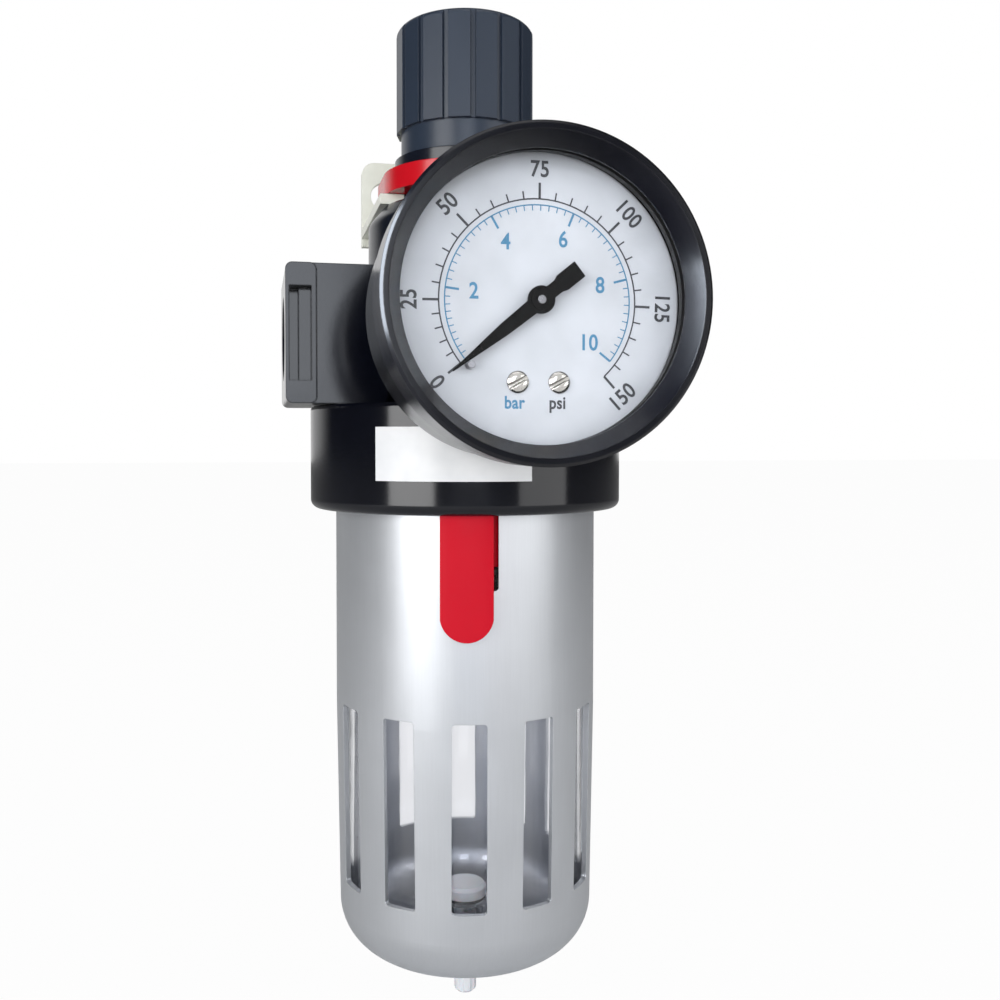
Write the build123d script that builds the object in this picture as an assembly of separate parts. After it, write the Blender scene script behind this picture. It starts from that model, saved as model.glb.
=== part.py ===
"""Filter regulator for compressed air: a half-inch port body with a pressure regulator above it,
a bayonet bowl with a filter below it and a pressure gauge in front. Sizes are in millimetres.

The model is drawn about the body's upright axis: X runs from the inlet to the outlet, -Y is the
front, where the gauge is, and Z = 0 is the height of the port axis. An azimuth is counted from
the front, positive towards +X. When the parts are written they are moved so that the origin is
the middle of the bracket's two holes, on the face that lies against the wall.
"""
from build123d import *
import math
import os

# Fits between pieces
RUNNING_GAP = 0.05        # radial play of a shaft in its bearing
THREAD_GAP = 0.05         # radial play left between plain-drawn threads
LOOSE_GAP = 0.3           # room between curved faces that do not carry each other
SEAL_GAP = 0.15           # room between a sealing ring and the wall it wipes

# Port block
PORT_SPAN = 90.0          # from port face to port face
BLOCK_HEIGHT = 32.0
BLOCK_DEPTH = 34.0
END_BAND_WIDTH = 7.0      # slightly raised band behind each port face
END_BAND_RISE = 0.5
BLOCK_STEP_X = 21.7       # where the port block steps back to the waist
WAIST_DEPTH = 28.0
BLOCK_EDGE_RADIUS = 1.6
PORT_RADIUS = 9.3         # minor radius of the half-inch pipe thread
PORT_THREAD_LENGTH = 16.0
PORT_CHAMFER = 0.9
CLAMP_POCKET_WIDTH = 5.0
CLAMP_POCKET_HEIGHT = 21.4
CLAMP_POCKET_DEPTH = 3.6
CLAMP_POCKET_WALL = 0.9   # from the port face to the pocket
CLAMP_GROOVE_WIDTH = 2.2
CLAMP_GROOVE_DEPTH = 6.0

# Regulator housing
HOUSING_RADIUS = 24.1     # round middle of the body, and the bonnet
SPIGOT_RADIUS = 21.8      # the bonnet screws on to it
SPIGOT_HEIGHT = 6.0
CHAMBER_RADIUS = 17.9     # below the diaphragm
CHAMBER_FLOOR = 10.0      # height above the port axis
OUTLET_CHAMBER_RADIUS = 12.0
SEAT_TOP = -3.0
SEAT_BOTTOM = -6.0
SEAT_HOLE_RADIUS = 6.2
VALVE_CHAMBER_RADIUS = 10.4
OUTLET_PASSAGE_RADIUS = 5.8
OUTLET_PASSAGE_RISE = 3.6
INLET_PASSAGE_RADIUS = 7.0
INLET_DROP_RADIUS = 6.2   # upright passage that leads down into the bowl
INLET_DROP_X = 23.0

# Gauge ports in the front and the back of the body
GAUGE_RISE = 1.4          # height of the gauge axis above the port axis
GAUGE_BOSS_RADIUS = 10.5
GAUGE_BOSS_REACH = 25.6   # from the body axis to the boss face
GAUGE_THREAD_RADIUS = 5.8
GAUGE_THREAD_DEPTH = 11.0
GAUGE_PASSAGE_RADIUS = 2.5
GAUGE_PASSAGE_END = 9.0   # it opens into the chamber above the valve seat

# Collar that takes the bowl
COLLAR_RADIUS = 38.5
COLLAR_HEIGHT = 25.0
COLLAR_TOP_EDGE = 1.2
COLLAR_BOTTOM_EDGE = 2.2
COLLAR_ROOF = 3.0         # metal above the bowl cavity
FILTER_SPIGOT_RADIUS = 14.0
FILTER_SPIGOT_LENGTH = 8.0
SEAL_WALL_RADIUS = 30.5
NECK_DEPTH = 7.2          # height of the wall that the bowl seal wipes

# Bayonet and lock
LUG_HEIGHT = 3.0
LUG_RISE = 2.2
LUG_COUNT = 3
LUG_HALF_ANGLE = 12.0
LUG_PLAY = 0.3
TWIST_ANGLE = 45.0        # bowl turned from locked to free
LOCK_AZIMUTH = -10.8      # the lock button faces slightly to the left of the front
CHANNEL_HEIGHT = 7.5      # recess in the collar for the top of the button

# Bowl guard
GUARD_TURN = -9.7         # azimuth of the slot pattern
GUARD_RADIUS = 32.3
GUARD_LOW_RADIUS = 31.35
GUARD_WALL = 1.2
GUARD_TAPER_TOP = -89.5
GUARD_CORNER_Z = -138.2
GUARD_BOTTOM = -152.4
DOME_CORNER_RADIUS = 12.0
DOME_CROWN_RADIUS = 100.0
SLOT_COUNT = 12
SLOT_WIDTH = 8.0
SLOT_TOP = -87.9
SLOT_BOTTOM = -131.3
SLOT_CORNER = 0.8
GUARD_DRAIN_HOLE = 4.2
BUTTON_SLOT_WIDTH = 13.0
BUTTON_SLOT_TOP = -33.6
BUTTON_SLOT_BOTTOM = -58.0

# Clear bowl
BOWL_NECK_RADIUS = 30.2
BOWL_RADIUS = 29.4
BOWL_WALL = 2.2
BOWL_FLANGE_HEIGHT = 2.0
BOWL_FLANGE_RADIUS = 32.0
SEAL_SECTION = 0.85       # radius of the sealing ring's round section
SEAL_GROOVE_DEPTH = 1.6
BOWL_GUARD_GAP = 0.8      # under the bowl
DRAIN_BOSS_RADIUS = 7.0
DRAIN_BOSS_HEIGHT = 10.0

# Lock button
BUTTON_WIDTH = 11.9
BUTTON_OUTER_RADIUS = 34.8
BUTTON_BOTTOM = -69.1
BUTTON_END_RISE = 5.0     # height of the rounded lower end
BUTTON_TRAVEL = 4.0
BUTTON_FLANGE_WIDTH = 16.0
BUTTON_FLANGE_THICKNESS = 0.9

# Drain valve
NUB_RADIUS = 2.8
NUB_BOTTOM = -164.6
NUB_FLUTES = 6
DRAIN_HEAD_RADIUS = 5.4
DRAIN_HEAD_HEIGHT = 3.0
DRAIN_SEAL_THICKNESS = 0.9

# Filter
DEFLECTOR_RADIUS = 26.6
DEFLECTOR_HEIGHT = 8.2
VANE_COUNT = 12
VANE_THICKNESS = 1.1
VANE_LEAN = 35.0
ELEMENT_RADIUS = 17.0
ELEMENT_BORE = 12.5
ELEMENT_HEIGHT = 44.0
ELEMENT_SEAT_THICKNESS = 1.8
BAFFLE_RADIUS = 24.0
BAFFLE_DROP = 5.0
BAFFLE_THICKNESS = 1.6
BOLT_RADIUS = 3.0
BOLT_HEAD_RADIUS = 5.5
BOLT_HEAD_HEIGHT = 4.0

# Valve
STEM_RADIUS = 2.0
POPPET_RADIUS = 8.2
POPPET_THICKNESS = 3.4
PAD_RADIUS = 7.6
PAD_THICKNESS = 1.4
GUIDE_HEIGHT = 8.0
GUIDE_PORT_RADIUS = 1.4
GUIDE_SEAL_SECTION = 0.45
VALVE_SPRING_RADIUS = 5.4
VALVE_SPRING_WIRE = 0.5
VALVE_TRAVEL = 1.2

# Diaphragm and its plates
DIAPHRAGM_RADIUS = 21.6
DIAPHRAGM_THICKNESS = 1.2
DIAPHRAGM_DROP = 7.0      # its middle hangs this far below its rim
LOWER_PLATE_RADIUS = 12.8
PLATE_THICKNESS = 2.0
RELIEF_HUB_RADIUS = 4.6
RELIEF_HUB_HEIGHT = 3.2
RELIEF_HOLE_RADIUS = 1.2

# Bonnet
BONNET_SHOULDER_Z = 33.0
BONNET_SHOULDER_RADIUS = 20.2
BONNET_SIDE_TOP = 28.3
NECK_RADIUS = 15.6
NECK_BORE = 12.6
FLANGE_RADIUS = 17.5
FLANGE_HEIGHT = 3.3
SKIRT_NECK_RADIUS = 13.9  # part of the neck that the knob covers
NECK_TOP = 56.0
NECK_WEB = 2.0
SPRING_CHAMBER_RADIUS = 17.0
SPRING_CHAMBER_TOP = 27.5
KEY_RIB_WIDTH = 2.0
KEY_RIB_RISE = 0.8
KEY_RIB_BOTTOM = 34.0
LOCK_TEETH = 36
LOCK_TOOTH_HEIGHT = 2.4

# Adjusting screw, nut and main spring
SCREW_RADIUS = 4.0
SCREW_BEARING_RADIUS = 5.0
SCREW_COLLAR_RADIUS = 9.0
SCREW_COLLAR_HEIGHT = 1.7
SCREW_HEAD_FLATS = 8.0
SCREW_HEAD_TOP = 66.0
NUT_HEIGHT = 5.0
NUT_TRAVEL = 8.75
SPRING_MEAN_RADIUS = 9.6
SPRING_WIRE = 1.15        # radius of the wire
SPRING_TURNS = 6.0

# Knob
KNOB_RADIUS = 17.0
KNOB_TOP = 77.2
KNOB_BOTTOM = 45.0
KNOB_RIB_BOTTOM = 51.4
KNOB_RIBS = 16
KNOB_TURN = -4.8          # azimuth of one groove
KNOB_GROOVE_ANGLE = 5.4
KNOB_GROOVE_DEPTH = 0.8
KNOB_RING_RADIUS = 15.9
KNOB_TOP_EDGE = 2.6
KNOB_BORE = 14.5
KNOB_ROOF = 60.0
KNOB_SOCKET_TOP = 70.0
KNOB_LIFT = 3.0
DETENT_Z = 50.2
DETENT_SECTION = 0.55

# Bracket clip and bracket
CLIP_HALF_WIDTH = 20.4
CLIP_BOTTOM = 35.6
CLIP_TOP = 41.0
CLIP_ARM_END = 14.0
CLIP_SNAP = 1.0           # how far the arm ends pinch inwards
BRACKET_THICKNESS = 2.5
BRACKET_HALF_WIDTH = 21.8
BRACKET_FORK_FRONT = -4.0
WALL_OFFSET = 42.0        # from the body axis to the wall
BRACKET_TOP = 54.4
BRACKET_HOLE_RADIUS = 4.0
BRACKET_HOLE_X = 15.3
BRACKET_HOLE_Z = 45.0
BRACKET_CORNER = 3.5
BRACKET_BEND = 0.8        # radius inside the corner
BRACKET_FOOT = 2.4        # the upright leg reaches this far below the fork

# Gauge; its depths are counted along its axis from the body axis towards the front
BEZEL_RADIUS = 30.8
BEZEL_FRONT = 78.3
BEZEL_SIDE = 12.0
BEZEL_RIM_WIDTH = 1.6
BEZEL_INNER_RADIUS = 26.8
BEZEL_LIP = 1.4
CASE_RADIUS = 29.6
CASE_WALL = 1.0
CASE_BACK = 41.0
CASE_FLOOR_GAP = 0.4      # between the tube's end cap and the case
LENS_FRONT = 74.1
LENS_THICKNESS = 2.0
LENS_RADIUS = 28.2
GASKET_THICKNESS = 1.5
GASKET_BORE = 26.9
DIAL_FRONT = 68.4
DIAL_THICKNESS = 0.8
DIAL_RADIUS = 27.6
DIAL_SCREW_X = 4.0
DIAL_SCREW_Y = -15.1
DIAL_SCREW_RADIUS = 2.1
DIAL_PILLAR_RADIUS = 1.7
SOCKET_FLATS = 14.0
SOCKET_NECK_RADIUS = 6.5
SOCKET_BLOCK_WIDTH = 12.0
SOCKET_BLOCK_TOP = 7.0
SOCKET_BLOCK_FOOT = 2.6   # of the block below the middle of the tube
SOCKET_BORE = 1.5
CASE_SCREW_RADIUS = 1.05
CASE_SCREW_LENGTH = 4.0
TUBE_RADIUS = 21.5
TUBE_SECTION = (2.6, 6.4)
TUBE_WALL = 0.45
TUBE_TIP_ANGLE = -17.0    # direction of the closed end
TUBE_SWEEP = 277.0        # from the closed end round to the block
TIP_CAP_PROUD = 0.4       # how far the end cap stands out from the tube
TUBE_PLATE_GAP = 0.8      # between the tube and the movement's rear plate

# Gauge movement
GEAR_MODULE = 0.4
PINION_TEETH = 10
SECTOR_TEETH = 70         # teeth of the whole wheel that the sector is cut from
PRESSURE_ANGLE = 20.0
BACKLASH = 0.07
SECTOR_ANGLE = 30.0       # direction from the pointer axis to the sector's pivot
SECTOR_SPAN = (-46.0, 6.0)
SECTOR_TAIL = 5.0
SECTOR_TAIL_ANGLE = -10.0
POINTER_TRAVEL = 266.5
ARBOR_RADIUS = 0.8
PIVOT_RADIUS = 0.8
MOVEMENT_PLATE = 1.0
SECTOR_STAND = 6.2        # from the rear plate to the sector
SECTOR_THICKNESS = 0.8
LINK_THICKNESS = 0.6
LINK_GAP = 0.3            # between the sector and the link
LINK_PIN_RADIUS = 0.5
LINK_END_RADIUS = 1.1
TIP_LENGTH = 3.2
COLLET_RADIUS = 1.5
COLLET_HEIGHT = 0.9
HAIRSPRING_HEIGHT = 0.7
HAIRSPRING_GAP = 0.6      # in front of the link and behind the front plate
ARBOR_FOOT = 1.5          # depth of the arbor's bearing in the socket block
PILLAR_PLACES = ((10.0, 15.0), (14.0, -5.0), (-6.5, 3.0))
PILLAR_RADIUS = 1.2

# Pointer
POINTER_STAND = 1.8       # from the dial to the pointer
POINTER_THICKNESS = 0.5
POINTER_ANGLE = 218.7     # where it points at no pressure, as seen from the front
POINTER_TIP = 21.3
POINTER_TAIL = 9.4
POINTER_TAIL_WIDTH = 3.4
POINTER_NECK_WIDTH = 2.6
STOP_PIN_RADIUS = 0.7
STOP_PIN_PLACE = (17.9, 222.6)  # radius and direction on the dial
POINTER_HUB_RADIUS = 2.6
POINTER_ROOT_WIDTH = 3.0

# Label
LABEL_CENTRE = -15.7
LABEL_HALF_ANGLE = 26.4
LABEL_TOP = -21.5
LABEL_BOTTOM = -33.4
LABEL_THICKNESS = 0.15
LABEL_STANDOFF = 0.02

# Levels worked out from the sizes above
BLOCK_TOP = BLOCK_HEIGHT / 2
BLOCK_BOTTOM = -BLOCK_HEIGHT / 2
COLLAR_BOTTOM = BLOCK_BOTTOM - COLLAR_HEIGHT
CAVITY_TOP = BLOCK_BOTTOM - COLLAR_ROOF
NECK_END = CAVITY_TOP - NECK_DEPTH
FLANGE_TOP_Z = NECK_END - 0.1
GUARD_TOP = FLANGE_TOP_Z - BOWL_FLANGE_HEIGHT
GROOVE_END = GUARD_TOP - LUG_HEIGHT - LUG_PLAY
COLLAR_BORE = GUARD_RADIUS + LOOSE_GAP
BAYONET_RADIUS = GUARD_RADIUS + LUG_RISE + LOOSE_GAP
SPIGOT_TOP = BLOCK_TOP + SPIGOT_HEIGHT
DIAPHRAGM_RIM_TOP = SPIGOT_TOP + DIAPHRAGM_THICKNESS
DIAPHRAGM_MIDDLE = SPIGOT_TOP - DIAPHRAGM_DROP
PLATE_TOP = DIAPHRAGM_MIDDLE + DIAPHRAGM_THICKNESS + PLATE_THICKNESS
RELIEF_BOTTOM = DIAPHRAGM_MIDDLE - PLATE_THICKNESS - RELIEF_HUB_HEIGHT
GUIDE_TOP = CAVITY_TOP
GUIDE_BOTTOM = GUIDE_TOP - GUIDE_HEIGHT
STEM_BORE_END = GUIDE_BOTTOM + 1.5
SPIGOT_BOTTOM = CAVITY_TOP - FILTER_SPIGOT_LENGTH
ELEMENT_TOP = SPIGOT_BOTTOM - ELEMENT_SEAT_THICKNESS - 0.2
ELEMENT_BOTTOM = ELEMENT_TOP - ELEMENT_HEIGHT
WEB_BOTTOM = NECK_TOP - NECK_WEB
SCREW_COLLAR_BOTTOM = WEB_BOTTOM - 0.1 - SCREW_COLLAR_HEIGHT
NUT_TOP = SCREW_COLLAR_BOTTOM - 0.2
NUT_BOTTOM = NUT_TOP - NUT_HEIGHT
FLANGE_BOTTOM = CLIP_TOP + 0.2
FLANGE_TOP = FLANGE_BOTTOM + FLANGE_HEIGHT
BRACKET_BOTTOM = BONNET_SHOULDER_Z
BOWL_INNER = BOWL_RADIUS - BOWL_WALL
BOWL_BOTTOM = GUARD_BOTTOM + GUARD_WALL + BOWL_GUARD_GAP
DRAIN_BOSS_TOP = BOWL_BOTTOM + DRAIN_BOSS_HEIGHT
TUBE_MIDDLE = CASE_BACK + CASE_WALL + CASE_FLOOR_GAP + TIP_CAP_PROUD + TUBE_SECTION[1] / 2
SOCKET_BLOCK_FRONT = TUBE_MIDDLE + TUBE_SECTION[1] / 2 + TUBE_PLATE_GAP
SECTOR_DEPTH = SOCKET_BLOCK_FRONT + MOVEMENT_PLATE + SECTOR_STAND
LINK_DEPTH = SECTOR_DEPTH + SECTOR_THICKNESS + LINK_GAP
HAIRSPRING_DEPTH = LINK_DEPTH + LINK_THICKNESS + HAIRSPRING_GAP
FRONT_PLATE_DEPTH = HAIRSPRING_DEPTH + COLLET_HEIGHT + HAIRSPRING_GAP
PLATE_DEPTHS = (SOCKET_BLOCK_FRONT, FRONT_PLATE_DEPTH)
POINTER_DEPTH = DIAL_FRONT + POINTER_STAND
BACK = -1.0
FRONT = 1.0

# Looking at the gauge from the front: x to the right, y up, z towards the viewer
GAUGE_PLANE = Plane(origin=(0, 0, GAUGE_RISE), x_dir=(1, 0, 0), z_dir=(0, -1, 0))
REAR_PORT_PLANE = Plane(origin=(0, 0, GAUGE_RISE), x_dir=(-1, 0, 0), z_dir=(0, 1, 0))

parts = {}


def turned(points, arc=360.0):
    """A solid of revolution about Z from (radius, height) corners."""
    outline = make_face(Polyline(*[(r, z) for r, z in points], close=True))
    return revolve(Plane.XZ * outline, Axis.Z, revolution_arc=arc)


def ring(inner, outer, low, high):
    """A plain ring about Z."""
    body = cylinder(outer, low, high)
    return body - cylinder(inner, low - 1, high + 1) if inner > 0 else body


def cylinder(radius, low, high):
    """A cylinder about Z between two heights."""
    return Pos(0, 0, (low + high) / 2) * Cylinder(radius, high - low)


def at(x, y, solid):
    """A solid moved sideways."""
    return Pos(x, y, 0) * solid


def facing(azimuth, solid):
    """A solid drawn at the front, turned to an azimuth."""
    return Rot(0, 0, azimuth) * solid


def block(x, y, z):
    """A box from its three (low, high) pairs."""
    size = [b - a for a, b in (x, y, z)]
    middle = [(a + b) / 2 for a, b in (x, y, z)]
    return Pos(*middle) * Box(*size)


def sector(inner, outer, low, high, centre, half_angle):
    """A piece of a ring, between two radii, about an azimuth."""
    reach = outer / math.cos(math.radians(min(half_angle, 60.0))) + 1
    steps = max(1, math.ceil(half_angle / 30.0))
    angles = [-half_angle + 2 * half_angle * i / (2 * steps) for i in range(2 * steps + 1)]
    rim = [(reach * math.sin(math.radians(a)), -reach * math.cos(math.radians(a))) for a in angles]
    wedge = make_face(Polyline((0, 0), *rim, close=True))
    shape = (Circle(outer) - Circle(inner)) & wedge
    return facing(centre, Pos(0, 0, low) * extrude(shape, high - low))


def edges_at(solid, height, axis=Axis.Z, tolerance=0.02):
    """The edges that lie wholly at one height along an axis."""
    low, high = height - tolerance, height + tolerance
    return solid.edges().filter_by_position(axis, low, high)


def circle_at(solid, radius, height):
    """The round edges of one radius at one height."""
    return [
        e
        for e in edges_at(solid, height)
        if e.geom_type == GeomType.CIRCLE and abs(e.radius - radius) < 0.02
    ]


def add(name, solid):
    """Keep a finished piece under its name."""
    parts[name] = solid


def coil(mean_radius, wire, low, high, turns):
    """A closed-ended helical spring between two heights."""
    height = high - low - 2 * wire
    path = Helix(height / turns, height, mean_radius, center=(0, 0, low + wire))
    start = path @ 0
    section = Plane(origin=start, z_dir=path % 0) * Circle(wire)
    return sweep(section, path=path)


# Body casting

def port_block():
    """The rectangular block with the two ports, and the round housing between them."""
    half = PORT_SPAN / 2
    rise = END_BAND_RISE
    depth = BLOCK_DEPTH / 2
    solid = block((-half, half), (-depth, depth), (BLOCK_BOTTOM, BLOCK_TOP))
    for side in (BACK, FRONT):
        inner, outer = sorted((side * half, side * (half - END_BAND_WIDTH)))
        solid += block((inner, outer), (-depth - rise, depth + rise), (BLOCK_BOTTOM, BLOCK_TOP))
        relief = (side * WAIST_DEPTH / 2, side * BLOCK_DEPTH)
        solid -= block((-BLOCK_STEP_X, BLOCK_STEP_X), sorted(relief), (BLOCK_BOTTOM, BLOCK_TOP))
    corners = solid.edges().filter_by(Axis.Y)
    solid = fillet(corners, BLOCK_EDGE_RADIUS)
    return solid + cylinder(HOUSING_RADIUS, BLOCK_BOTTOM, BLOCK_TOP)


def collar_form():
    """The round collar below the port block, with its eased edges."""
    solid = cylinder(COLLAR_RADIUS, COLLAR_BOTTOM, BLOCK_BOTTOM)
    solid = fillet(circle_at(solid, COLLAR_RADIUS, COLLAR_BOTTOM), COLLAR_BOTTOM_EDGE)
    return fillet(circle_at(solid, COLLAR_RADIUS, BLOCK_BOTTOM), COLLAR_TOP_EDGE)


def bowl_cavity():
    """The hollow of the collar: seal wall, bayonet groove with its entries, button channel."""
    room = cylinder(SEAL_WALL_RADIUS, NECK_END - 1, CAVITY_TOP)
    room += cylinder(BAYONET_RADIUS, GROOVE_END, NECK_END)
    room += cylinder(COLLAR_BORE, COLLAR_BOTTOM - 1, GROOVE_END + 1)
    room -= cylinder(FILTER_SPIGOT_RADIUS, SPIGOT_BOTTOM, CAVITY_TOP + 1)
    for azimuth in lug_azimuths():
        entry = azimuth + TWIST_ANGLE
        half = LUG_HALF_ANGLE + 1.5
        room += sector(20, BAYONET_RADIUS, COLLAR_BOTTOM - 1, GROOVE_END + 1, entry, half)
    half_button = math.degrees(math.asin(BUTTON_WIDTH / 2 / BUTTON_OUTER_RADIUS)) + 1.0
    centre = LOCK_AZIMUTH + TWIST_ANGLE / 2
    channel = (20, BUTTON_OUTER_RADIUS + LOOSE_GAP, COLLAR_BOTTOM - 1, COLLAR_BOTTOM + CHANNEL_HEIGHT)
    return room + sector(*channel, centre, half_button + TWIST_ANGLE / 2)


def lug_azimuths():
    """Where the guard's bayonet lugs stand, spread evenly and clear of the lock button."""
    step = 360 / LUG_COUNT
    return [LOCK_AZIMUTH + step * (i + 0.5) for i in range(LUG_COUNT)]


def port_hole(side):
    """One threaded port with the passage that leads on from it."""
    half = PORT_SPAN / 2
    hole = Cylinder(PORT_RADIUS, PORT_THREAD_LENGTH)
    mouth = Pos(0, 0, PORT_THREAD_LENGTH / 2 - PORT_CHAMFER / 2) * Cone(
        PORT_RADIUS, PORT_RADIUS + PORT_CHAMFER, PORT_CHAMFER
    )
    turn = Rot(0, 90 * side, 0)
    return Pos(side * (half - PORT_THREAD_LENGTH / 2), 0, 0) * (turn * (hole + mouth))


def air_passages():
    """Ports, gauge ports and the ways that join them to the chambers."""
    end = PORT_SPAN / 2 - PORT_THREAD_LENGTH
    outlet_middle = (end + OUTLET_CHAMBER_RADIUS) / 2 - 1
    outlet_run = Pos(outlet_middle, 0, OUTLET_PASSAGE_RISE) * Rot(0, 90, 0)
    outlet = outlet_run * Cylinder(OUTLET_PASSAGE_RADIUS, end - OUTLET_CHAMBER_RADIUS + 4)
    inlet_run = Pos(-(end + INLET_DROP_X) / 2 - 1, 0, 0) * Rot(0, 90, 0)
    inlet = inlet_run * Cylinder(INLET_PASSAGE_RADIUS, end - INLET_DROP_X + 2)
    drop = at(-INLET_DROP_X, 0, cylinder(INLET_DROP_RADIUS, CAVITY_TOP - 1, 0))
    ways = [port_hole(BACK), port_hole(FRONT), outlet, inlet, drop]
    for plane in (GAUGE_PLANE, REAR_PORT_PLANE):
        thread_end = GAUGE_BOSS_REACH - GAUGE_THREAD_DEPTH
        ways.append(plane * cylinder(GAUGE_THREAD_RADIUS, thread_end, GAUGE_BOSS_REACH + 1))
        ways.append(plane * cylinder(GAUGE_PASSAGE_RADIUS, GAUGE_PASSAGE_END, thread_end + 1))
    return ways


def regulating_chambers():
    """The room under the diaphragm, the valve seat and the valve chamber."""
    room = cylinder(CHAMBER_RADIUS, CHAMBER_FLOOR, SPIGOT_TOP + 1)
    room += cylinder(OUTLET_CHAMBER_RADIUS, SEAT_TOP, CHAMBER_FLOOR + 1)
    room += cylinder(SEAT_HOLE_RADIUS, SEAT_BOTTOM - 1, SEAT_TOP + 1)
    return room + cylinder(VALVE_CHAMBER_RADIUS, SPIGOT_BOTTOM - 1, SEAT_BOTTOM)


def clamp_pocket(x_side, y_side):
    """The recess beside a port face that a modular clamp hooks into."""
    face = BLOCK_DEPTH / 2 + END_BAND_RISE
    outer = PORT_SPAN / 2 - CLAMP_POCKET_WALL
    half = CLAMP_POCKET_HEIGHT / 2
    wide = sorted((x_side * outer, x_side * (outer - CLAMP_POCKET_WIDTH)))
    narrow = sorted((x_side * outer, x_side * (outer - CLAMP_GROOVE_WIDTH)))
    shallow = sorted((y_side * (face - CLAMP_POCKET_DEPTH), y_side * (face + 1)))
    deep = sorted((y_side * (face - CLAMP_GROOVE_DEPTH), y_side * (face + 1)))
    return block(wide, shallow, (-half, half)) + block(narrow, deep, (-half, half))


def body_casting():
    """The die-cast body that everything else is built on."""
    solid = port_block() + collar_form()
    solid += cylinder(SPIGOT_RADIUS, BLOCK_TOP, SPIGOT_TOP)
    for plane in (GAUGE_PLANE, REAR_PORT_PLANE):
        boss = cylinder(GAUGE_BOSS_RADIUS, 0, GAUGE_BOSS_REACH)
        solid += plane * boss
    solid -= regulating_chambers()
    solid -= bowl_cavity()
    for way in air_passages():
        solid -= way
    for x_side in (BACK, FRONT):
        for y_side in (BACK, FRONT):
            solid -= clamp_pocket(x_side, y_side)
    return solid


def rear_port_plug():
    """Socket-headed plug in the gauge port at the back."""
    depth = GAUGE_THREAD_DEPTH - 2
    plug = cylinder(GAUGE_THREAD_RADIUS - THREAD_GAP, GAUGE_BOSS_REACH - depth, GAUGE_BOSS_REACH)
    head = cylinder(GAUGE_THREAD_RADIUS + 1.6, GAUGE_BOSS_REACH, GAUGE_BOSS_REACH + 2.2)
    head = chamfer(circle_at(head, GAUGE_THREAD_RADIUS + 1.6, GAUGE_BOSS_REACH + 2.2), 0.5)
    socket = extrude(RegularPolygon(3.0, 6, major_radius=False), 6)
    return REAR_PORT_PLANE * (plug + head - Pos(0, 0, GAUGE_BOSS_REACH - 3.5) * socket)


# Bowl, guard and lock

def bowl_form(radius, low_radius, top, taper_top, corner_z, bottom, corner_radius, crown_radius):
    """The filled form of a domed cup: upright or slightly tapered wall, rounded corner, crown."""
    rise = crown_radius - math.sqrt(crown_radius ** 2 - low_radius ** 2)
    rim = bottom + rise
    line = Polyline((0, bottom), (0, top), (radius, top), (radius, taper_top), (low_radius, rim))
    crown = RadiusArc((low_radius, rim), (0, bottom), crown_radius)
    middle = crown @ 0.5
    if middle.Y > bottom + rise * 0.6:
        crown = RadiusArc((low_radius, rim), (0, bottom), -crown_radius)
    face = make_face(Curve() + [line, crown])
    solid = revolve(Plane.XZ * face, Axis.Z)
    return fillet(circle_at(solid, low_radius, rim), corner_radius)


def guard_shell():
    """The guard's drawn metal cup before its openings are cut."""
    wall = GUARD_WALL
    outer = bowl_form(
        GUARD_RADIUS, GUARD_LOW_RADIUS, GUARD_TOP, GUARD_TAPER_TOP,
        GUARD_CORNER_Z, GUARD_BOTTOM, DOME_CORNER_RADIUS, DOME_CROWN_RADIUS,
    )
    inner = bowl_form(
        GUARD_RADIUS - wall, GUARD_LOW_RADIUS - wall, GUARD_TOP + 1, GUARD_TAPER_TOP,
        GUARD_CORNER_Z, GUARD_BOTTOM + wall, DOME_CORNER_RADIUS - wall, DOME_CROWN_RADIUS - wall,
    )
    return outer - inner


def side_window(width, low, high, corner):
    """A prism that cuts one window through the front wall of a cup."""
    shape = RectangleRounded(width, high - low, corner)
    reach = GUARD_RADIUS + 6
    window = extrude(Plane.XZ * shape, reach)
    return Pos(0, 0, (low + high) / 2) * window


def bowl_guard():
    """Slotted metal guard with its three bayonet lugs."""
    solid = guard_shell()
    for i in range(SLOT_COUNT):
        azimuth = GUARD_TURN + 360 / SLOT_COUNT * i
        solid -= facing(azimuth, side_window(SLOT_WIDTH, SLOT_BOTTOM, SLOT_TOP, SLOT_CORNER))
    window = side_window(BUTTON_SLOT_WIDTH, BUTTON_SLOT_BOTTOM, BUTTON_SLOT_TOP, SLOT_CORNER)
    solid -= facing(GUARD_TURN, window)
    solid -= cylinder(GUARD_DRAIN_HOLE, GUARD_BOTTOM - 2, GUARD_BOTTOM + 4)
    for azimuth in lug_azimuths():
        outer = GUARD_RADIUS + LUG_RISE
        inner = GUARD_RADIUS - GUARD_WALL / 2
        solid += sector(inner, outer, GUARD_TOP - LUG_HEIGHT, GUARD_TOP, azimuth, LUG_HALF_ANGLE)
    return solid


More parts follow.
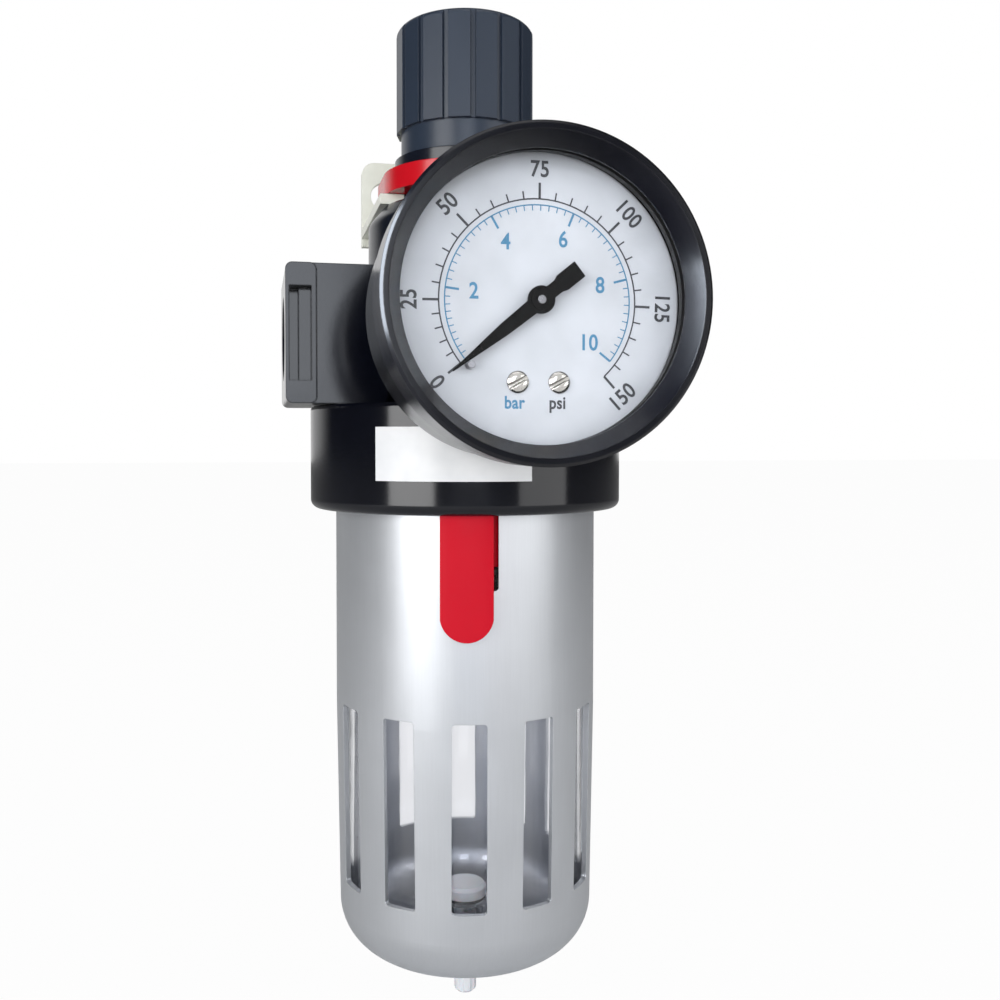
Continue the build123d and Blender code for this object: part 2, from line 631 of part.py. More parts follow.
def clear_bowl():
    """Clear bowl: neck with the seal groove, flange on the guard's rim, domed end, drain boss."""
    corner = DOME_CORNER_RADIUS - 2 * GUARD_WALL
    crown = DOME_CROWN_RADIUS - 2 * GUARD_WALL
    outer = bowl_form(
        BOWL_RADIUS, BOWL_RADIUS, CAVITY_TOP - 0.4, GUARD_TAPER_TOP,
        GUARD_CORNER_Z, BOWL_BOTTOM, corner, crown,
    )
    outer += cylinder(BOWL_NECK_RADIUS, FLANGE_TOP_Z, CAVITY_TOP - 0.4)
    outer += cylinder(BOWL_FLANGE_RADIUS, GUARD_TOP, FLANGE_TOP_Z)
    inner = bowl_form(
        BOWL_INNER, BOWL_INNER, CAVITY_TOP + 1, GUARD_TAPER_TOP,
        GUARD_CORNER_Z, BOWL_BOTTOM + BOWL_WALL, corner - BOWL_WALL, crown - BOWL_WALL,
    )
    solid = outer - inner
    solid += cylinder(DRAIN_BOSS_RADIUS, BOWL_BOTTOM + BOWL_WALL / 2, DRAIN_BOSS_TOP)
    solid -= cylinder(NUB_RADIUS + RUNNING_GAP, BOWL_BOTTOM - 1, DRAIN_BOSS_TOP + 1)
    groove_low, groove_high = seal_groove()
    floor = BOWL_NECK_RADIUS - SEAL_GROOVE_DEPTH
    return solid - ring(floor, BOWL_NECK_RADIUS + 1, groove_low, groove_high)


def seal_groove():
    """Lower and upper level of the groove for the bowl seal."""
    middle = (FLANGE_TOP_Z + CAVITY_TOP - 0.4) / 2
    half = SEAL_SECTION + 0.3
    return middle - half, middle + half


def bowl_seal():
    """Round-section ring in the bowl's neck."""
    low, high = seal_groove()
    major = SEAL_WALL_RADIUS - SEAL_GAP - SEAL_SECTION
    return Pos(0, 0, (low + high) / 2) * Torus(major, SEAL_SECTION)


def lock_button():
    """Curved lock button: outer plate, neck through the guard's slot, flange behind the wall."""
    inner = GUARD_RADIUS + LOOSE_GAP
    half = math.degrees(math.asin(BUTTON_WIDTH / 2 / BUTTON_OUTER_RADIUS))
    top = COLLAR_BOTTOM + CHANNEL_HEIGHT - LOOSE_GAP - 1.0
    plate = sector(inner, BUTTON_OUTER_RADIUS, BUTTON_BOTTOM, top, 0, half)
    plate &= Pos(0, -inner, 0) * extrude(Plane.XZ * button_outline(top), 12, both=True)
    behind = GUARD_RADIUS - GUARD_WALL - LOOSE_GAP
    neck_low = BUTTON_SLOT_BOTTOM + BUTTON_TRAVEL + 3.2
    neck = sector(behind - 0.1, inner + 0.1, neck_low, BUTTON_SLOT_TOP - LOOSE_GAP, 0, half - 0.6)
    flange_half = math.degrees(math.asin(BUTTON_FLANGE_WIDTH / 2 / behind))
    flange_low = neck_low - 2.0
    flange = sector(
        behind - BUTTON_FLANGE_THICKNESS, behind, flange_low, BUTTON_SLOT_TOP, 0, flange_half
    )
    return facing(LOCK_AZIMUTH, plate + neck + flange)


def button_outline(top):
    """The button's front view: a strip with a round lower end."""
    half = BUTTON_WIDTH / 2
    shoulder = BUTTON_BOTTOM + BUTTON_END_RISE
    sides = Polyline((half, shoulder), (half, top), (-half, top), (-half, shoulder))
    end = ThreePointArc((-half, shoulder), (0, BUTTON_BOTTOM), (half, shoulder))
    return make_face(Curve() + [sides, end])


def button_spring():
    """Moulded zigzag spring in the guard's slot, under the button's neck."""
    low = BUTTON_SLOT_BOTTOM
    high = BUTTON_SLOT_BOTTOM + BUTTON_TRAVEL + 3.2
    waves = 3
    thickness = 0.7
    reach = BUTTON_WIDTH / 2 - 1.2
    step = (high - low - thickness) / waves
    solid = None
    middle_radius = GUARD_RADIUS - GUARD_WALL / 2
    for i in range(waves + 1):
        level = low + thickness / 2 + i * step
        bar = block((-reach, reach), (-middle_radius - 0.5, -middle_radius + 0.5),
                    (level - thickness / 2, level + thickness / 2))
        solid = bar if solid is None else solid + bar
    for i in range(waves):
        side = reach - thickness / 2 if i % 2 else -reach + thickness / 2
        low_level = low + i * step
        post = block((side - thickness / 2, side + thickness / 2),
                     (-middle_radius - 0.5, -middle_radius + 0.5),
                     (low_level, low_level + step + thickness))
        solid = solid + post
    return facing(LOCK_AZIMUTH, solid)


# Drain

def drain_valve():
    """Push-up drain: head on the seal inside the bowl, stem, fluted nub outside."""
    seat = DRAIN_BOSS_TOP + DRAIN_SEAL_THICKNESS
    head = cylinder(DRAIN_HEAD_RADIUS, seat, seat + DRAIN_HEAD_HEIGHT)
    head = chamfer(circle_at(head, DRAIN_HEAD_RADIUS, seat + DRAIN_HEAD_HEIGHT), 0.8)
    stem = cylinder(NUB_RADIUS, NUB_BOTTOM, seat)
    stem = chamfer(circle_at(stem, NUB_RADIUS, NUB_BOTTOM), 0.7)
    solid = head + stem
    flute_top = GUARD_BOTTOM - 3.0
    for i in range(NUB_FLUTES):
        angle = math.radians(360 / NUB_FLUTES * i)
        place = (NUB_RADIUS + 0.35)
        flute = cylinder(0.7, NUB_BOTTOM - 1, flute_top)
        solid -= at(place * math.cos(angle), place * math.sin(angle), flute)
    drill = cylinder(1.1, NUB_BOTTOM - 1, seat - 2)
    cross = Pos(0, 0, seat - 2.6) * Rot(90, 0, 0) * Cylinder(0.8, 8)
    return solid - drill - cross


def drain_seal():
    """Flat ring under the drain valve's head."""
    return ring(NUB_RADIUS + 0.2, DRAIN_HEAD_RADIUS - 0.3, DRAIN_BOSS_TOP,
                DRAIN_BOSS_TOP + DRAIN_SEAL_THICKNESS)


# Filter

def swirl_deflector():
    """Ring of leaning vanes that spins the air, with the seat for the filter element."""
    hub_bore = FILTER_SPIGOT_RADIUS + LOOSE_GAP
    hub_outer = hub_bore + 1.7
    top = CAVITY_TOP
    low = top - DEFLECTOR_HEIGHT
    solid = ring(hub_bore, hub_outer, low, top)
    solid += ring(ELEMENT_BORE - 2.5, hub_outer, low - ELEMENT_SEAT_THICKNESS, low)
    outer_ring = ring(DEFLECTOR_RADIUS - 1.2, DEFLECTOR_RADIUS, low + 1, top - 2.4)
    solid += outer_ring
    length = DEFLECTOR_RADIUS - hub_outer
    middle = (DEFLECTOR_RADIUS + hub_outer) / 2 - 0.4
    height = (DEFLECTOR_HEIGHT - 3.6) / math.cos(math.radians(VANE_LEAN))
    blade = Box(VANE_THICKNESS, length, height)
    blade = Pos(0, -middle, (low + 1 + top - 2.4) / 2) * Rot(0, VANE_LEAN, 0) * blade
    for i in range(VANE_COUNT):
        solid += facing(360 / VANE_COUNT * i, blade)
    return solid


def filter_baffle():
    """Umbrella under the filter element that keeps the water quiet."""
    top = ELEMENT_BOTTOM
    t = BAFFLE_THICKNESS
    flat = ELEMENT_RADIUS + 0.6
    bore = BOLT_RADIUS + THREAD_GAP
    points = [
        (bore, top), (flat, top), (BAFFLE_RADIUS, top - BAFFLE_DROP),
        (BAFFLE_RADIUS, top - BAFFLE_DROP - t), (BAFFLE_RADIUS - t, top - BAFFLE_DROP - t),
        (flat - 0.8, top - t), (bore, top - t),
    ]
    return turned(points)


def filter_bolt():
    """Bolt that holds the baffle and the element up against the valve guide."""
    head_top = ELEMENT_BOTTOM - BAFFLE_THICKNESS
    shank = cylinder(BOLT_RADIUS, head_top, GUIDE_BOTTOM - 1)
    head = Pos(0, 0, head_top - BOLT_HEAD_HEIGHT) * extrude(
        RegularPolygon(BOLT_HEAD_RADIUS, 6), BOLT_HEAD_HEIGHT
    )
    return shank + head


# Valve

def valve_guide():
    """Plug in the filter spigot: guides the valve stem and takes the filter bolt."""
    solid = cylinder(VALVE_CHAMBER_RADIUS - THREAD_GAP, GUIDE_BOTTOM, GUIDE_TOP)
    solid += cylinder(BOLT_RADIUS + 2.4, GUIDE_BOTTOM - 6, GUIDE_BOTTOM)
    solid -= cylinder(BOLT_RADIUS + THREAD_GAP, GUIDE_BOTTOM - 7, GUIDE_BOTTOM - 0.8)
    solid -= cylinder(STEM_RADIUS + RUNNING_GAP, STEM_BORE_END, GUIDE_TOP + 1)
    port = cylinder(GUIDE_PORT_RADIUS, GUIDE_BOTTOM - 1, GUIDE_TOP + 1)
    place = VALVE_SPRING_RADIUS + VALVE_SPRING_WIRE + LOOSE_GAP + GUIDE_PORT_RADIUS
    for i in range(6):
        solid -= Rot(0, 0, 60 * i) * at(place, 0, port)
    low, high = guide_groove()
    floor = VALVE_CHAMBER_RADIUS - SEAL_GAP - 2 * GUIDE_SEAL_SECTION
    return solid - ring(floor, VALVE_CHAMBER_RADIUS + 1, low, high)


def guide_groove():
    """Lower and upper level of the seal groove in the valve guide."""
    middle = GUIDE_TOP - 2.2
    half = GUIDE_SEAL_SECTION + 0.2
    return middle - half, middle + half


def guide_seal():
    """Sealing ring between the valve guide and its bore."""
    low, high = guide_groove()
    major = VALVE_CHAMBER_RADIUS - SEAL_GAP - GUIDE_SEAL_SECTION
    return Pos(0, 0, (low + high) / 2) * Torus(major, GUIDE_SEAL_SECTION)


def valve_poppet():
    """Poppet with its stem: the diaphragm pushes the stem, the spring closes the poppet."""
    low = SEAT_BOTTOM - POPPET_THICKNESS
    solid = cylinder(POPPET_RADIUS, low, SEAT_BOTTOM)
    solid -= ring(STEM_RADIUS + 1.0, PAD_RADIUS, SEAT_BOTTOM - PAD_THICKNESS, SEAT_BOTTOM + 1)
    solid += cylinder(STEM_RADIUS, STEM_BORE_END + VALVE_TRAVEL + 0.5, RELIEF_BOTTOM)
    return solid


def valve_pad():
    """Rubber ring in the poppet's face."""
    return ring(STEM_RADIUS + 1.0, PAD_RADIUS, SEAT_BOTTOM - PAD_THICKNESS, SEAT_BOTTOM)


def upper_diaphragm_plate():
    """Cup over the diaphragm, with the lip that centres the main spring."""
    low = DIAPHRAGM_MIDDLE + DIAPHRAGM_THICKNESS
    lip = SPRING_MEAN_RADIUS - SPRING_WIRE - LOOSE_GAP
    solid = cylinder(LOWER_PLATE_RADIUS, low, PLATE_TOP)
    solid += cylinder(lip, PLATE_TOP, PLATE_TOP + 2)
    return solid - cylinder(RELIEF_HOLE_RADIUS * 2, low - 1, PLATE_TOP + 3)


def lower_diaphragm_plate():
    """Plate under the diaphragm with the relief seat that stands on the valve stem."""
    high = DIAPHRAGM_MIDDLE
    solid = cylinder(LOWER_PLATE_RADIUS, high - PLATE_THICKNESS, high)
    solid += cylinder(RELIEF_HUB_RADIUS, RELIEF_BOTTOM, high)
    solid += ring(RELIEF_HOLE_RADIUS, RELIEF_HOLE_RADIUS * 2 - THREAD_GAP, high,
                  high + DIAPHRAGM_THICKNESS + PLATE_THICKNESS)
    return solid - cylinder(RELIEF_HOLE_RADIUS, RELIEF_BOTTOM - 1, high + 8)


def diaphragm():
    """Rubber diaphragm: clamped rim, rolled wall, flat middle."""
    t = DIAPHRAGM_THICKNESS
    rim = SPIGOT_TOP
    roll = CHAMBER_RADIUS - 0.6
    middle = DIAPHRAGM_MIDDLE
    foot = LOWER_PLATE_RADIUS + 0.6
    bore = RELIEF_HOLE_RADIUS * 2
    points = [
        (bore, middle), (foot, middle), (roll, rim - 1.2), (roll, rim), (DIAPHRAGM_RADIUS, rim),
        (DIAPHRAGM_RADIUS, rim + t), (roll - t, rim + t), (roll - t, rim - 0.8),
        (foot - 0.4, middle + t), (bore, middle + t),
    ]
    return turned(points)


# Bonnet, screw, nut and knob

def bonnet():
    """Bonnet: skirt over the body's spigot, domed shoulder, neck with clip groove and flange."""
    profile = [
        (0, BLOCK_TOP), (HOUSING_RADIUS, BLOCK_TOP), (HOUSING_RADIUS, BONNET_SIDE_TOP),
        (BONNET_SHOULDER_RADIUS, BONNET_SHOULDER_Z), (NECK_RADIUS, BONNET_SHOULDER_Z),
        (NECK_RADIUS, FLANGE_BOTTOM), (FLANGE_RADIUS, FLANGE_BOTTOM), (FLANGE_RADIUS, FLANGE_TOP),
        (SKIRT_NECK_RADIUS, FLANGE_TOP), (SKIRT_NECK_RADIUS, NECK_TOP), (0, NECK_TOP),
    ]
    solid = turned(profile)
    solid = fillet(circle_at(solid, HOUSING_RADIUS, BONNET_SIDE_TOP), 3.0)
    solid = fillet(circle_at(solid, BONNET_SHOULDER_RADIUS, BONNET_SHOULDER_Z), 1.6)
    solid -= cylinder(SPIGOT_RADIUS + 0.2, BLOCK_TOP - 1, DIAPHRAGM_RIM_TOP)
    solid -= cylinder(SPRING_CHAMBER_RADIUS, DIAPHRAGM_RIM_TOP - 1, SPRING_CHAMBER_TOP)
    drop = SPRING_CHAMBER_RADIUS - NECK_BORE
    solid -= turned([
        (0, SPRING_CHAMBER_TOP - 0.5), (SPRING_CHAMBER_RADIUS, SPRING_CHAMBER_TOP),
        (NECK_BORE, SPRING_CHAMBER_TOP + drop), (0, SPRING_CHAMBER_TOP + drop),
    ])
    solid -= cylinder(NECK_BORE, SPRING_CHAMBER_TOP, WEB_BOTTOM)
    solid -= cylinder(SCREW_BEARING_RADIUS + RUNNING_GAP, WEB_BOTTOM - 1, NECK_TOP + 1)
    for azimuth in (90, -90):
        depth = (-NECK_BORE - 0.5, -NECK_BORE + KEY_RIB_RISE)
        rib = block((-KEY_RIB_WIDTH / 2, KEY_RIB_WIDTH / 2), depth, (KEY_RIB_BOTTOM, WEB_BOTTOM))
        solid += facing(azimuth, rib)
    groove = ring(SKIRT_NECK_RADIUS - 1.2, SKIRT_NECK_RADIUS + 1, DETENT_Z - 0.8, DETENT_Z + 0.8)
    return solid - groove + lock_teeth()


def lock_teeth():
    """Serrations at the foot of the covered neck, which hold the knob when it is down."""
    teeth = None
    for i in range(LOCK_TEETH):
        tooth = block((-0.35, 0.35), (-SKIRT_NECK_RADIUS - 0.25, -SKIRT_NECK_RADIUS + 0.5),
                      (FLANGE_TOP - 0.2, FLANGE_TOP + LOCK_TOOTH_HEIGHT))
        tooth = facing(360 / LOCK_TEETH * i, tooth)
        teeth = tooth if teeth is None else teeth + tooth
    return teeth


def adjusting_screw():
    """Screw that the knob turns: hexagon head, bearing, thrust collar, thread."""
    solid = cylinder(SCREW_BEARING_RADIUS, SCREW_COLLAR_BOTTOM, NECK_TOP + 0.6)
    solid += cylinder(SCREW_COLLAR_RADIUS, SCREW_COLLAR_BOTTOM, SCREW_COLLAR_BOTTOM + SCREW_COLLAR_HEIGHT)
    solid += cylinder(SCREW_RADIUS, NUT_BOTTOM - NUT_TRAVEL - 2, SCREW_COLLAR_BOTTOM)
    head = extrude(RegularPolygon(SCREW_HEAD_FLATS / 2, 6, major_radius=False), SCREW_HEAD_TOP - NECK_TOP)
    return solid + facing(KNOB_TURN, Pos(0, 0, NECK_TOP) * head)


def spring_nut():
    """Nut that runs down the screw and presses on the spring, kept from turning by two ribs."""
    solid = cylinder(NECK_BORE - LOOSE_GAP, NUT_BOTTOM, NUT_TOP)
    solid += cylinder(SPRING_MEAN_RADIUS - SPRING_WIRE - LOOSE_GAP, NUT_BOTTOM - 2.0, NUT_BOTTOM)
    solid -= cylinder(SCREW_RADIUS + THREAD_GAP, NUT_BOTTOM - 3, NUT_TOP + 1)
    for azimuth in (90, -90):
        half = KEY_RIB_WIDTH / 2 + LOOSE_GAP
        slot = block((-half, half), (-NECK_BORE - 1, -NECK_BORE + KEY_RIB_RISE + LOOSE_GAP),
                     (NUT_BOTTOM - 1, NUT_TOP + 1))
        solid -= facing(azimuth, slot)
    return solid


def knob_rib_section(radius):
    """Cross-section of the ribbed part: wide flats with narrow grooves between them."""
    shape = RegularPolygon(radius / math.cos(math.pi / KNOB_RIBS) ** 0.5, KNOB_RIBS)
    half = math.radians(KNOB_GROOVE_ANGLE / 2)
    outside, floor = radius + 2, radius - KNOB_GROOVE_DEPTH
    sides = ((outside, -1.2), (floor, -0.7), (floor, 0.7), (outside, 1.2))
    for i in range(KNOB_RIBS):
        angle = 2 * math.pi * i / KNOB_RIBS
        corners = [(r * math.cos(angle + k * half), r * math.sin(angle + k * half)) for r, k in sides]
        shape -= make_face(Polyline(*corners, close=True))
    return shape


def knob():
    """Knob: ribbed grip, plain ring below it, hexagon socket that slides on the screw's head."""
    grip = Pos(0, 0, KNOB_RIB_BOTTOM) * extrude(knob_rib_section(KNOB_RADIUS), KNOB_TOP - KNOB_RIB_BOTTOM)
    reach = KNOB_RADIUS + 0.15
    crown = cylinder(reach, KNOB_BOTTOM, KNOB_TOP)
    crown = fillet(circle_at(crown, reach, KNOB_TOP), KNOB_TOP_EDGE)
    solid = grip & crown
    solid += cylinder(KNOB_RING_RADIUS, KNOB_BOTTOM, KNOB_RIB_BOTTOM + 1)
    solid -= cylinder(KNOB_BORE, KNOB_BOTTOM - 1, KNOB_ROOF)
    socket = extrude(
        RegularPolygon(SCREW_HEAD_FLATS / 2 + RUNNING_GAP, 6, major_radius=False),
        KNOB_SOCKET_TOP - KNOB_ROOF + 1,
    )
    solid -= Pos(0, 0, KNOB_ROOF - 1) * socket
    dish = cylinder(KNOB_RADIUS - 5.5, KNOB_TOP - 0.5, KNOB_TOP + 1)
    for level in (DETENT_Z, DETENT_Z - KNOB_LIFT):
        solid -= Pos(0, 0, level) * Torus(KNOB_BORE, 0.35)
    return facing(KNOB_TURN, solid - dish)


def knob_detent_ring():
    """Split wire ring in the neck's groove that clicks into the knob's two inner grooves."""
    major = SKIRT_NECK_RADIUS - 0.35
    whole = Pos(0, 0, DETENT_Z) * Torus(major, DETENT_SECTION)
    return whole - block((-1.5, 1.5), (0, 30), (DETENT_Z - 2, DETENT_Z + 2))


# Bracket and clip

def bracket_clip():
    """U-shaped clip pushed into the neck's groove from the front; its arm ends snap round."""
    half = CLIP_HALF_WIDTH
    arm = CLIP_ARM_END
    bore = NECK_RADIUS + LOOSE_GAP
    shape = Circle(half) & (Pos(0, -half / 2) * Rectangle(2 * half, half))
    shape += Pos(0, arm / 2) * Rectangle(2 * half, arm)
    shape -= Circle(bore)
    gap = bore - CLIP_SNAP
    shape -= Pos(0, arm / 2 + 2) * Rectangle(2 * gap, arm + 4)
    solid = Pos(0, 0, CLIP_BOTTOM) * extrude(shape, CLIP_TOP - CLIP_BOTTOM)
    ends = solid.edges().filter_by(Axis.Z).group_by(Axis.Y)[-1]
    return fillet(ends, 1.5)


def bracket():
    """Bracket: fork round the neck under the clip, upright leg with two holes."""
    half = BRACKET_HALF_WIDTH
    t = BRACKET_THICKNESS
    low = BRACKET_BOTTOM
    foot = low - BRACKET_FOOT
    profile = Polyline(
        (BRACKET_FORK_FRONT, low), (WALL_OFFSET - t, low), (WALL_OFFSET - t, foot), (WALL_OFFSET, foot),
        (WALL_OFFSET, BRACKET_TOP), (WALL_OFFSET - t, BRACKET_TOP), (WALL_OFFSET - t, low + t),
        (BRACKET_FORK_FRONT, low + t), close=True,
    )
    side_plane = Plane(origin=(-half, 0, 0), x_dir=(0, 1, 0), z_dir=(1, 0, 0))
    solid = extrude(side_plane * make_face(profile), 2 * half)
    for level in (low, low + t):
        corner = [e for e in edges_at(solid, level).filter_by(Axis.X)
                  if abs(e.center().Y - WALL_OFFSET + t) < 0.01]
        solid = fillet(corner, BRACKET_BEND)
    slot = Circle(NECK_RADIUS + LOOSE_GAP)
    slot += Pos(0, -20) * Rectangle(2 * (NECK_RADIUS + LOOSE_GAP), 40)
    solid -= Pos(0, 0, low - 1) * extrude(slot, t + 2)
    for side in (BACK, FRONT):
        hole = Pos(side * BRACKET_HOLE_X, WALL_OFFSET, BRACKET_HOLE_Z) * Rot(90, 0, 0)
        solid -= hole * Cylinder(BRACKET_HOLE_RADIUS, 3 * t)
    top_corners = [e for e in solid.edges().filter_by(Axis.Y) if e.center().Z > BRACKET_TOP - 0.01]
    return fillet(top_corners, BRACKET_CORNER)


# Gauge

def gauge_socket():
    """Gauge socket: thread into the body, wrench flats, neck through the case, inner block."""
    start = GAUGE_BOSS_REACH - GAUGE_THREAD_DEPTH + 1
    solid = cylinder(GAUGE_THREAD_RADIUS - THREAD_GAP, start, GAUGE_BOSS_REACH)
    flats = Rectangle(SOCKET_FLATS, SOCKET_FLATS)
    hexagon = extrude(flats, CASE_BACK - 3 - GAUGE_BOSS_REACH - 0.4)
    solid += Pos(0, 0, GAUGE_BOSS_REACH + 0.4) * hexagon
    solid += cylinder(GAUGE_THREAD_RADIUS, GAUGE_BOSS_REACH, GAUGE_BOSS_REACH + 0.4)
    solid += cylinder(SOCKET_NECK_RADIUS, CASE_BACK - 3, CASE_BACK + CASE_WALL)
    half = SOCKET_BLOCK_WIDTH / 2
    foot = -TUBE_RADIUS - SOCKET_BLOCK_FOOT
    solid += block((-half, half), (foot, SOCKET_BLOCK_TOP), (CASE_BACK + CASE_WALL, SOCKET_BLOCK_FRONT))
    solid -= cylinder(SOCKET_BORE, start - 1, TUBE_MIDDLE)
    down = Pos(0, -TUBE_RADIUS / 2, TUBE_MIDDLE) * Rot(90, 0, 0)
    solid -= down * Cylinder(SOCKET_BORE - 0.3, TUBE_RADIUS)
    across = Pos(-SOCKET_BLOCK_WIDTH / 6, -TUBE_RADIUS + 0.3, TUBE_MIDDLE) * Rot(0, 90, 0)
    solid -= across * Cylinder(SOCKET_BORE - 0.6, SOCKET_BLOCK_WIDTH / 2)
    solid -= tube_room()
    for x, y in case_screw_places():
        solid -= at(x, y, cylinder(CASE_SCREW_RADIUS + THREAD_GAP, CASE_BACK, CASE_BACK + CASE_SCREW_LENGTH))
    bearing = SOCKET_BLOCK_FRONT - ARBOR_FOOT
    solid -= cylinder(ARBOR_RADIUS + RUNNING_GAP, bearing, SOCKET_BLOCK_FRONT + 1)
    return GAUGE_PLANE * solid


def tube_room():
    """Pocket in the block's side where the tube's open end is brazed in."""
    radial, deep = TUBE_SECTION
    play = 0.1
    inner = TUBE_RADIUS - radial / 2 - play
    outer = TUBE_RADIUS + radial / 2 + play
    low = TUBE_MIDDLE - deep / 2 - play
    reach = 8.0
    open_end = TUBE_TIP_ANGLE + TUBE_SWEEP - 270
    return sector(inner, outer, low, low + deep + 2 * play, open_end - reach + 0.2, reach)


def gauge_case():
    """Pressed cup of the gauge with a hole for the socket."""
    step = BEZEL_FRONT - BEZEL_SIDE
    front = LENS_FRONT - LENS_THICKNESS - GASKET_THICKNESS
    solid = cylinder(CASE_RADIUS, CASE_BACK, front)
    solid = fillet(circle_at(solid, CASE_RADIUS, CASE_BACK), 3.0)
    inner = cylinder(CASE_RADIUS - CASE_WALL, CASE_BACK + CASE_WALL, front + 1)
    inner = fillet(circle_at(inner, CASE_RADIUS - CASE_WALL, CASE_BACK + CASE_WALL), 2.0)
    solid -= inner
    solid += ring(CASE_RADIUS - 0.5, BEZEL_RADIUS - 0.2, step - 1.3, step - 0.3)
    solid -= cylinder(SOCKET_NECK_RADIUS + THREAD_GAP, CASE_BACK - 1, CASE_BACK + 2)
    for x, y in case_screw_places():
        hole = cylinder(CASE_SCREW_RADIUS + THREAD_GAP, CASE_BACK - 1, CASE_BACK + 2)
        solid -= at(x, y, hole)
    return GAUGE_PLANE * solid


def case_screw_places():
    """Where two screws hold the case to the socket block."""
    return ((-3.7, -12.5), (3.7, -12.5))


def case_screws():
    """Two cheese-head screws through the case back into the block."""
    screws = None
    for x, y in case_screw_places():
        screw = cylinder(CASE_SCREW_RADIUS, CASE_BACK, CASE_BACK + CASE_SCREW_LENGTH - 0.5)
        head = cylinder(1.9, CASE_BACK - 1.2, CASE_BACK)
        slot = block((-2.5, 2.5), (-0.25, 0.25), (CASE_BACK - 2, CASE_BACK - 0.7))
        screw = at(x, y, screw + head - slot)
        screws = screw if screws is None else screws + screw
    return GAUGE_PLANE * screws


def gauge_bezel():
    """Deep push-on bezel with a rim and a slope down to the lens."""
    back = BEZEL_FRONT - BEZEL_SIDE
    rim = BEZEL_RADIUS - BEZEL_RIM_WIDTH
    wall_in = CASE_RADIUS + 0.2
    points = [
        (wall_in, back), (BEZEL_RADIUS - 0.4, back), (BEZEL_RADIUS, back + 0.4),
        (BEZEL_RADIUS, BEZEL_FRONT - 0.6), (BEZEL_RADIUS - 0.6, BEZEL_FRONT), (rim, BEZEL_FRONT),
        (BEZEL_INNER_RADIUS, LENS_FRONT + BEZEL_LIP * 0.3), (BEZEL_INNER_RADIUS, LENS_FRONT + 0.05),
        (LENS_RADIUS + 0.2, LENS_FRONT + 0.05), (wall_in, LENS_FRONT + 0.05),
    ]
    return GAUGE_PLANE * turned(points)


def gauge_lens():
    """Clear lens."""
    solid = cylinder(LENS_RADIUS, LENS_FRONT - LENS_THICKNESS, LENS_FRONT)
    return GAUGE_PLANE * solid


def lens_gasket():
    """Rubber ring between the lens and the case rim."""
    back = LENS_FRONT - LENS_THICKNESS - GASKET_THICKNESS
    return GAUGE_PLANE * ring(GASKET_BORE, CASE_RADIUS, back, back + GASKET_THICKNESS)


def gauge_dial():
    """Dial plate; its figures are printed."""
    solid = cylinder(DIAL_RADIUS, DIAL_FRONT - DIAL_THICKNESS, DIAL_FRONT)
    solid -= cylinder(ARBOR_RADIUS + 1.2, DIAL_FRONT - 2, DIAL_FRONT + 1)
    for side in (BACK, FRONT):
        solid -= at(side * DIAL_SCREW_X, DIAL_SCREW_Y, cylinder(0.9, DIAL_FRONT - 2, DIAL_FRONT + 1))
    pin_hole = cylinder(STOP_PIN_RADIUS + THREAD_GAP, DIAL_FRONT - 2, DIAL_FRONT + 1)
    return GAUGE_PLANE * (solid - at(*arc_point(*STOP_PIN_PLACE), pin_hole))


def stop_pin():
    """Pin in the dial that the pointer comes to rest beside."""
    pin = cylinder(STOP_PIN_RADIUS, DIAL_FRONT - DIAL_THICKNESS, POINTER_DEPTH + POINTER_THICKNESS + 0.3)
    pin += cylinder(STOP_PIN_RADIUS + 0.3, DIAL_FRONT - DIAL_THICKNESS - 0.4, DIAL_FRONT - DIAL_THICKNESS)
    return GAUGE_PLANE * at(*arc_point(*STOP_PIN_PLACE), pin)


def dial_screws():
    """Two small domed screws that hold the dial."""
    screws = None
    for side in (BACK, FRONT):
        head = cylinder(DIAL_SCREW_RADIUS, DIAL_FRONT, DIAL_FRONT + 0.9)
        head = fillet(circle_at(head, DIAL_SCREW_RADIUS, DIAL_FRONT + 0.9), 0.5)
        slot = Rot(0, 0, 28) * block((-3, 3), (-0.28, 0.28), (DIAL_FRONT + 0.5, DIAL_FRONT + 2))
        shank = cylinder(0.85, DIAL_FRONT - 2.6, DIAL_FRONT)
        screw = at(side * DIAL_SCREW_X, DIAL_SCREW_Y, head - slot + shank)
        screws = screw if screws is None else screws + screw
    return GAUGE_PLANE * screws


def dial_pillars():
    """Two pillars that stand on the socket block and carry the dial."""
    pillars = None
    top = DIAL_FRONT - DIAL_THICKNESS
    for side in (BACK, FRONT):
        pillar = cylinder(DIAL_PILLAR_RADIUS, SOCKET_BLOCK_FRONT, top)
        pillar -= cylinder(0.9, top - 3, top + 1)
        pillar = at(side * DIAL_SCREW_X, DIAL_SCREW_Y, pillar)
        pillars = pillar if pillars is None else pillars + pillar
    return GAUGE_PLANE * pillars


def arc_point(radius, angle):
    """A point of the gauge face at a radius and an angle from the right."""
    return radius * math.cos(math.radians(angle)), radius * math.sin(math.radians(angle))


def bourdon_tube():
    """Hollow C-shaped tube of flattened section, open at the block and capped at the tip."""
    radial, deep = TUBE_SECTION
    outer = RectangleRounded(radial, deep, radial / 2 - 0.05)
    inner_round = radial / 2 - TUBE_WALL - 0.05
    inner = RectangleRounded(radial - 2 * TUBE_WALL, deep - 2 * TUBE_WALL, inner_round)
    section = Plane.XZ * Pos(TUBE_RADIUS, TUBE_MIDDLE) * (outer - inner)
    tube = revolve(section, Axis.Z, revolution_arc=TUBE_SWEEP)
    return GAUGE_PLANE * (Rot(0, 0, TUBE_TIP_ANGLE) * tube)


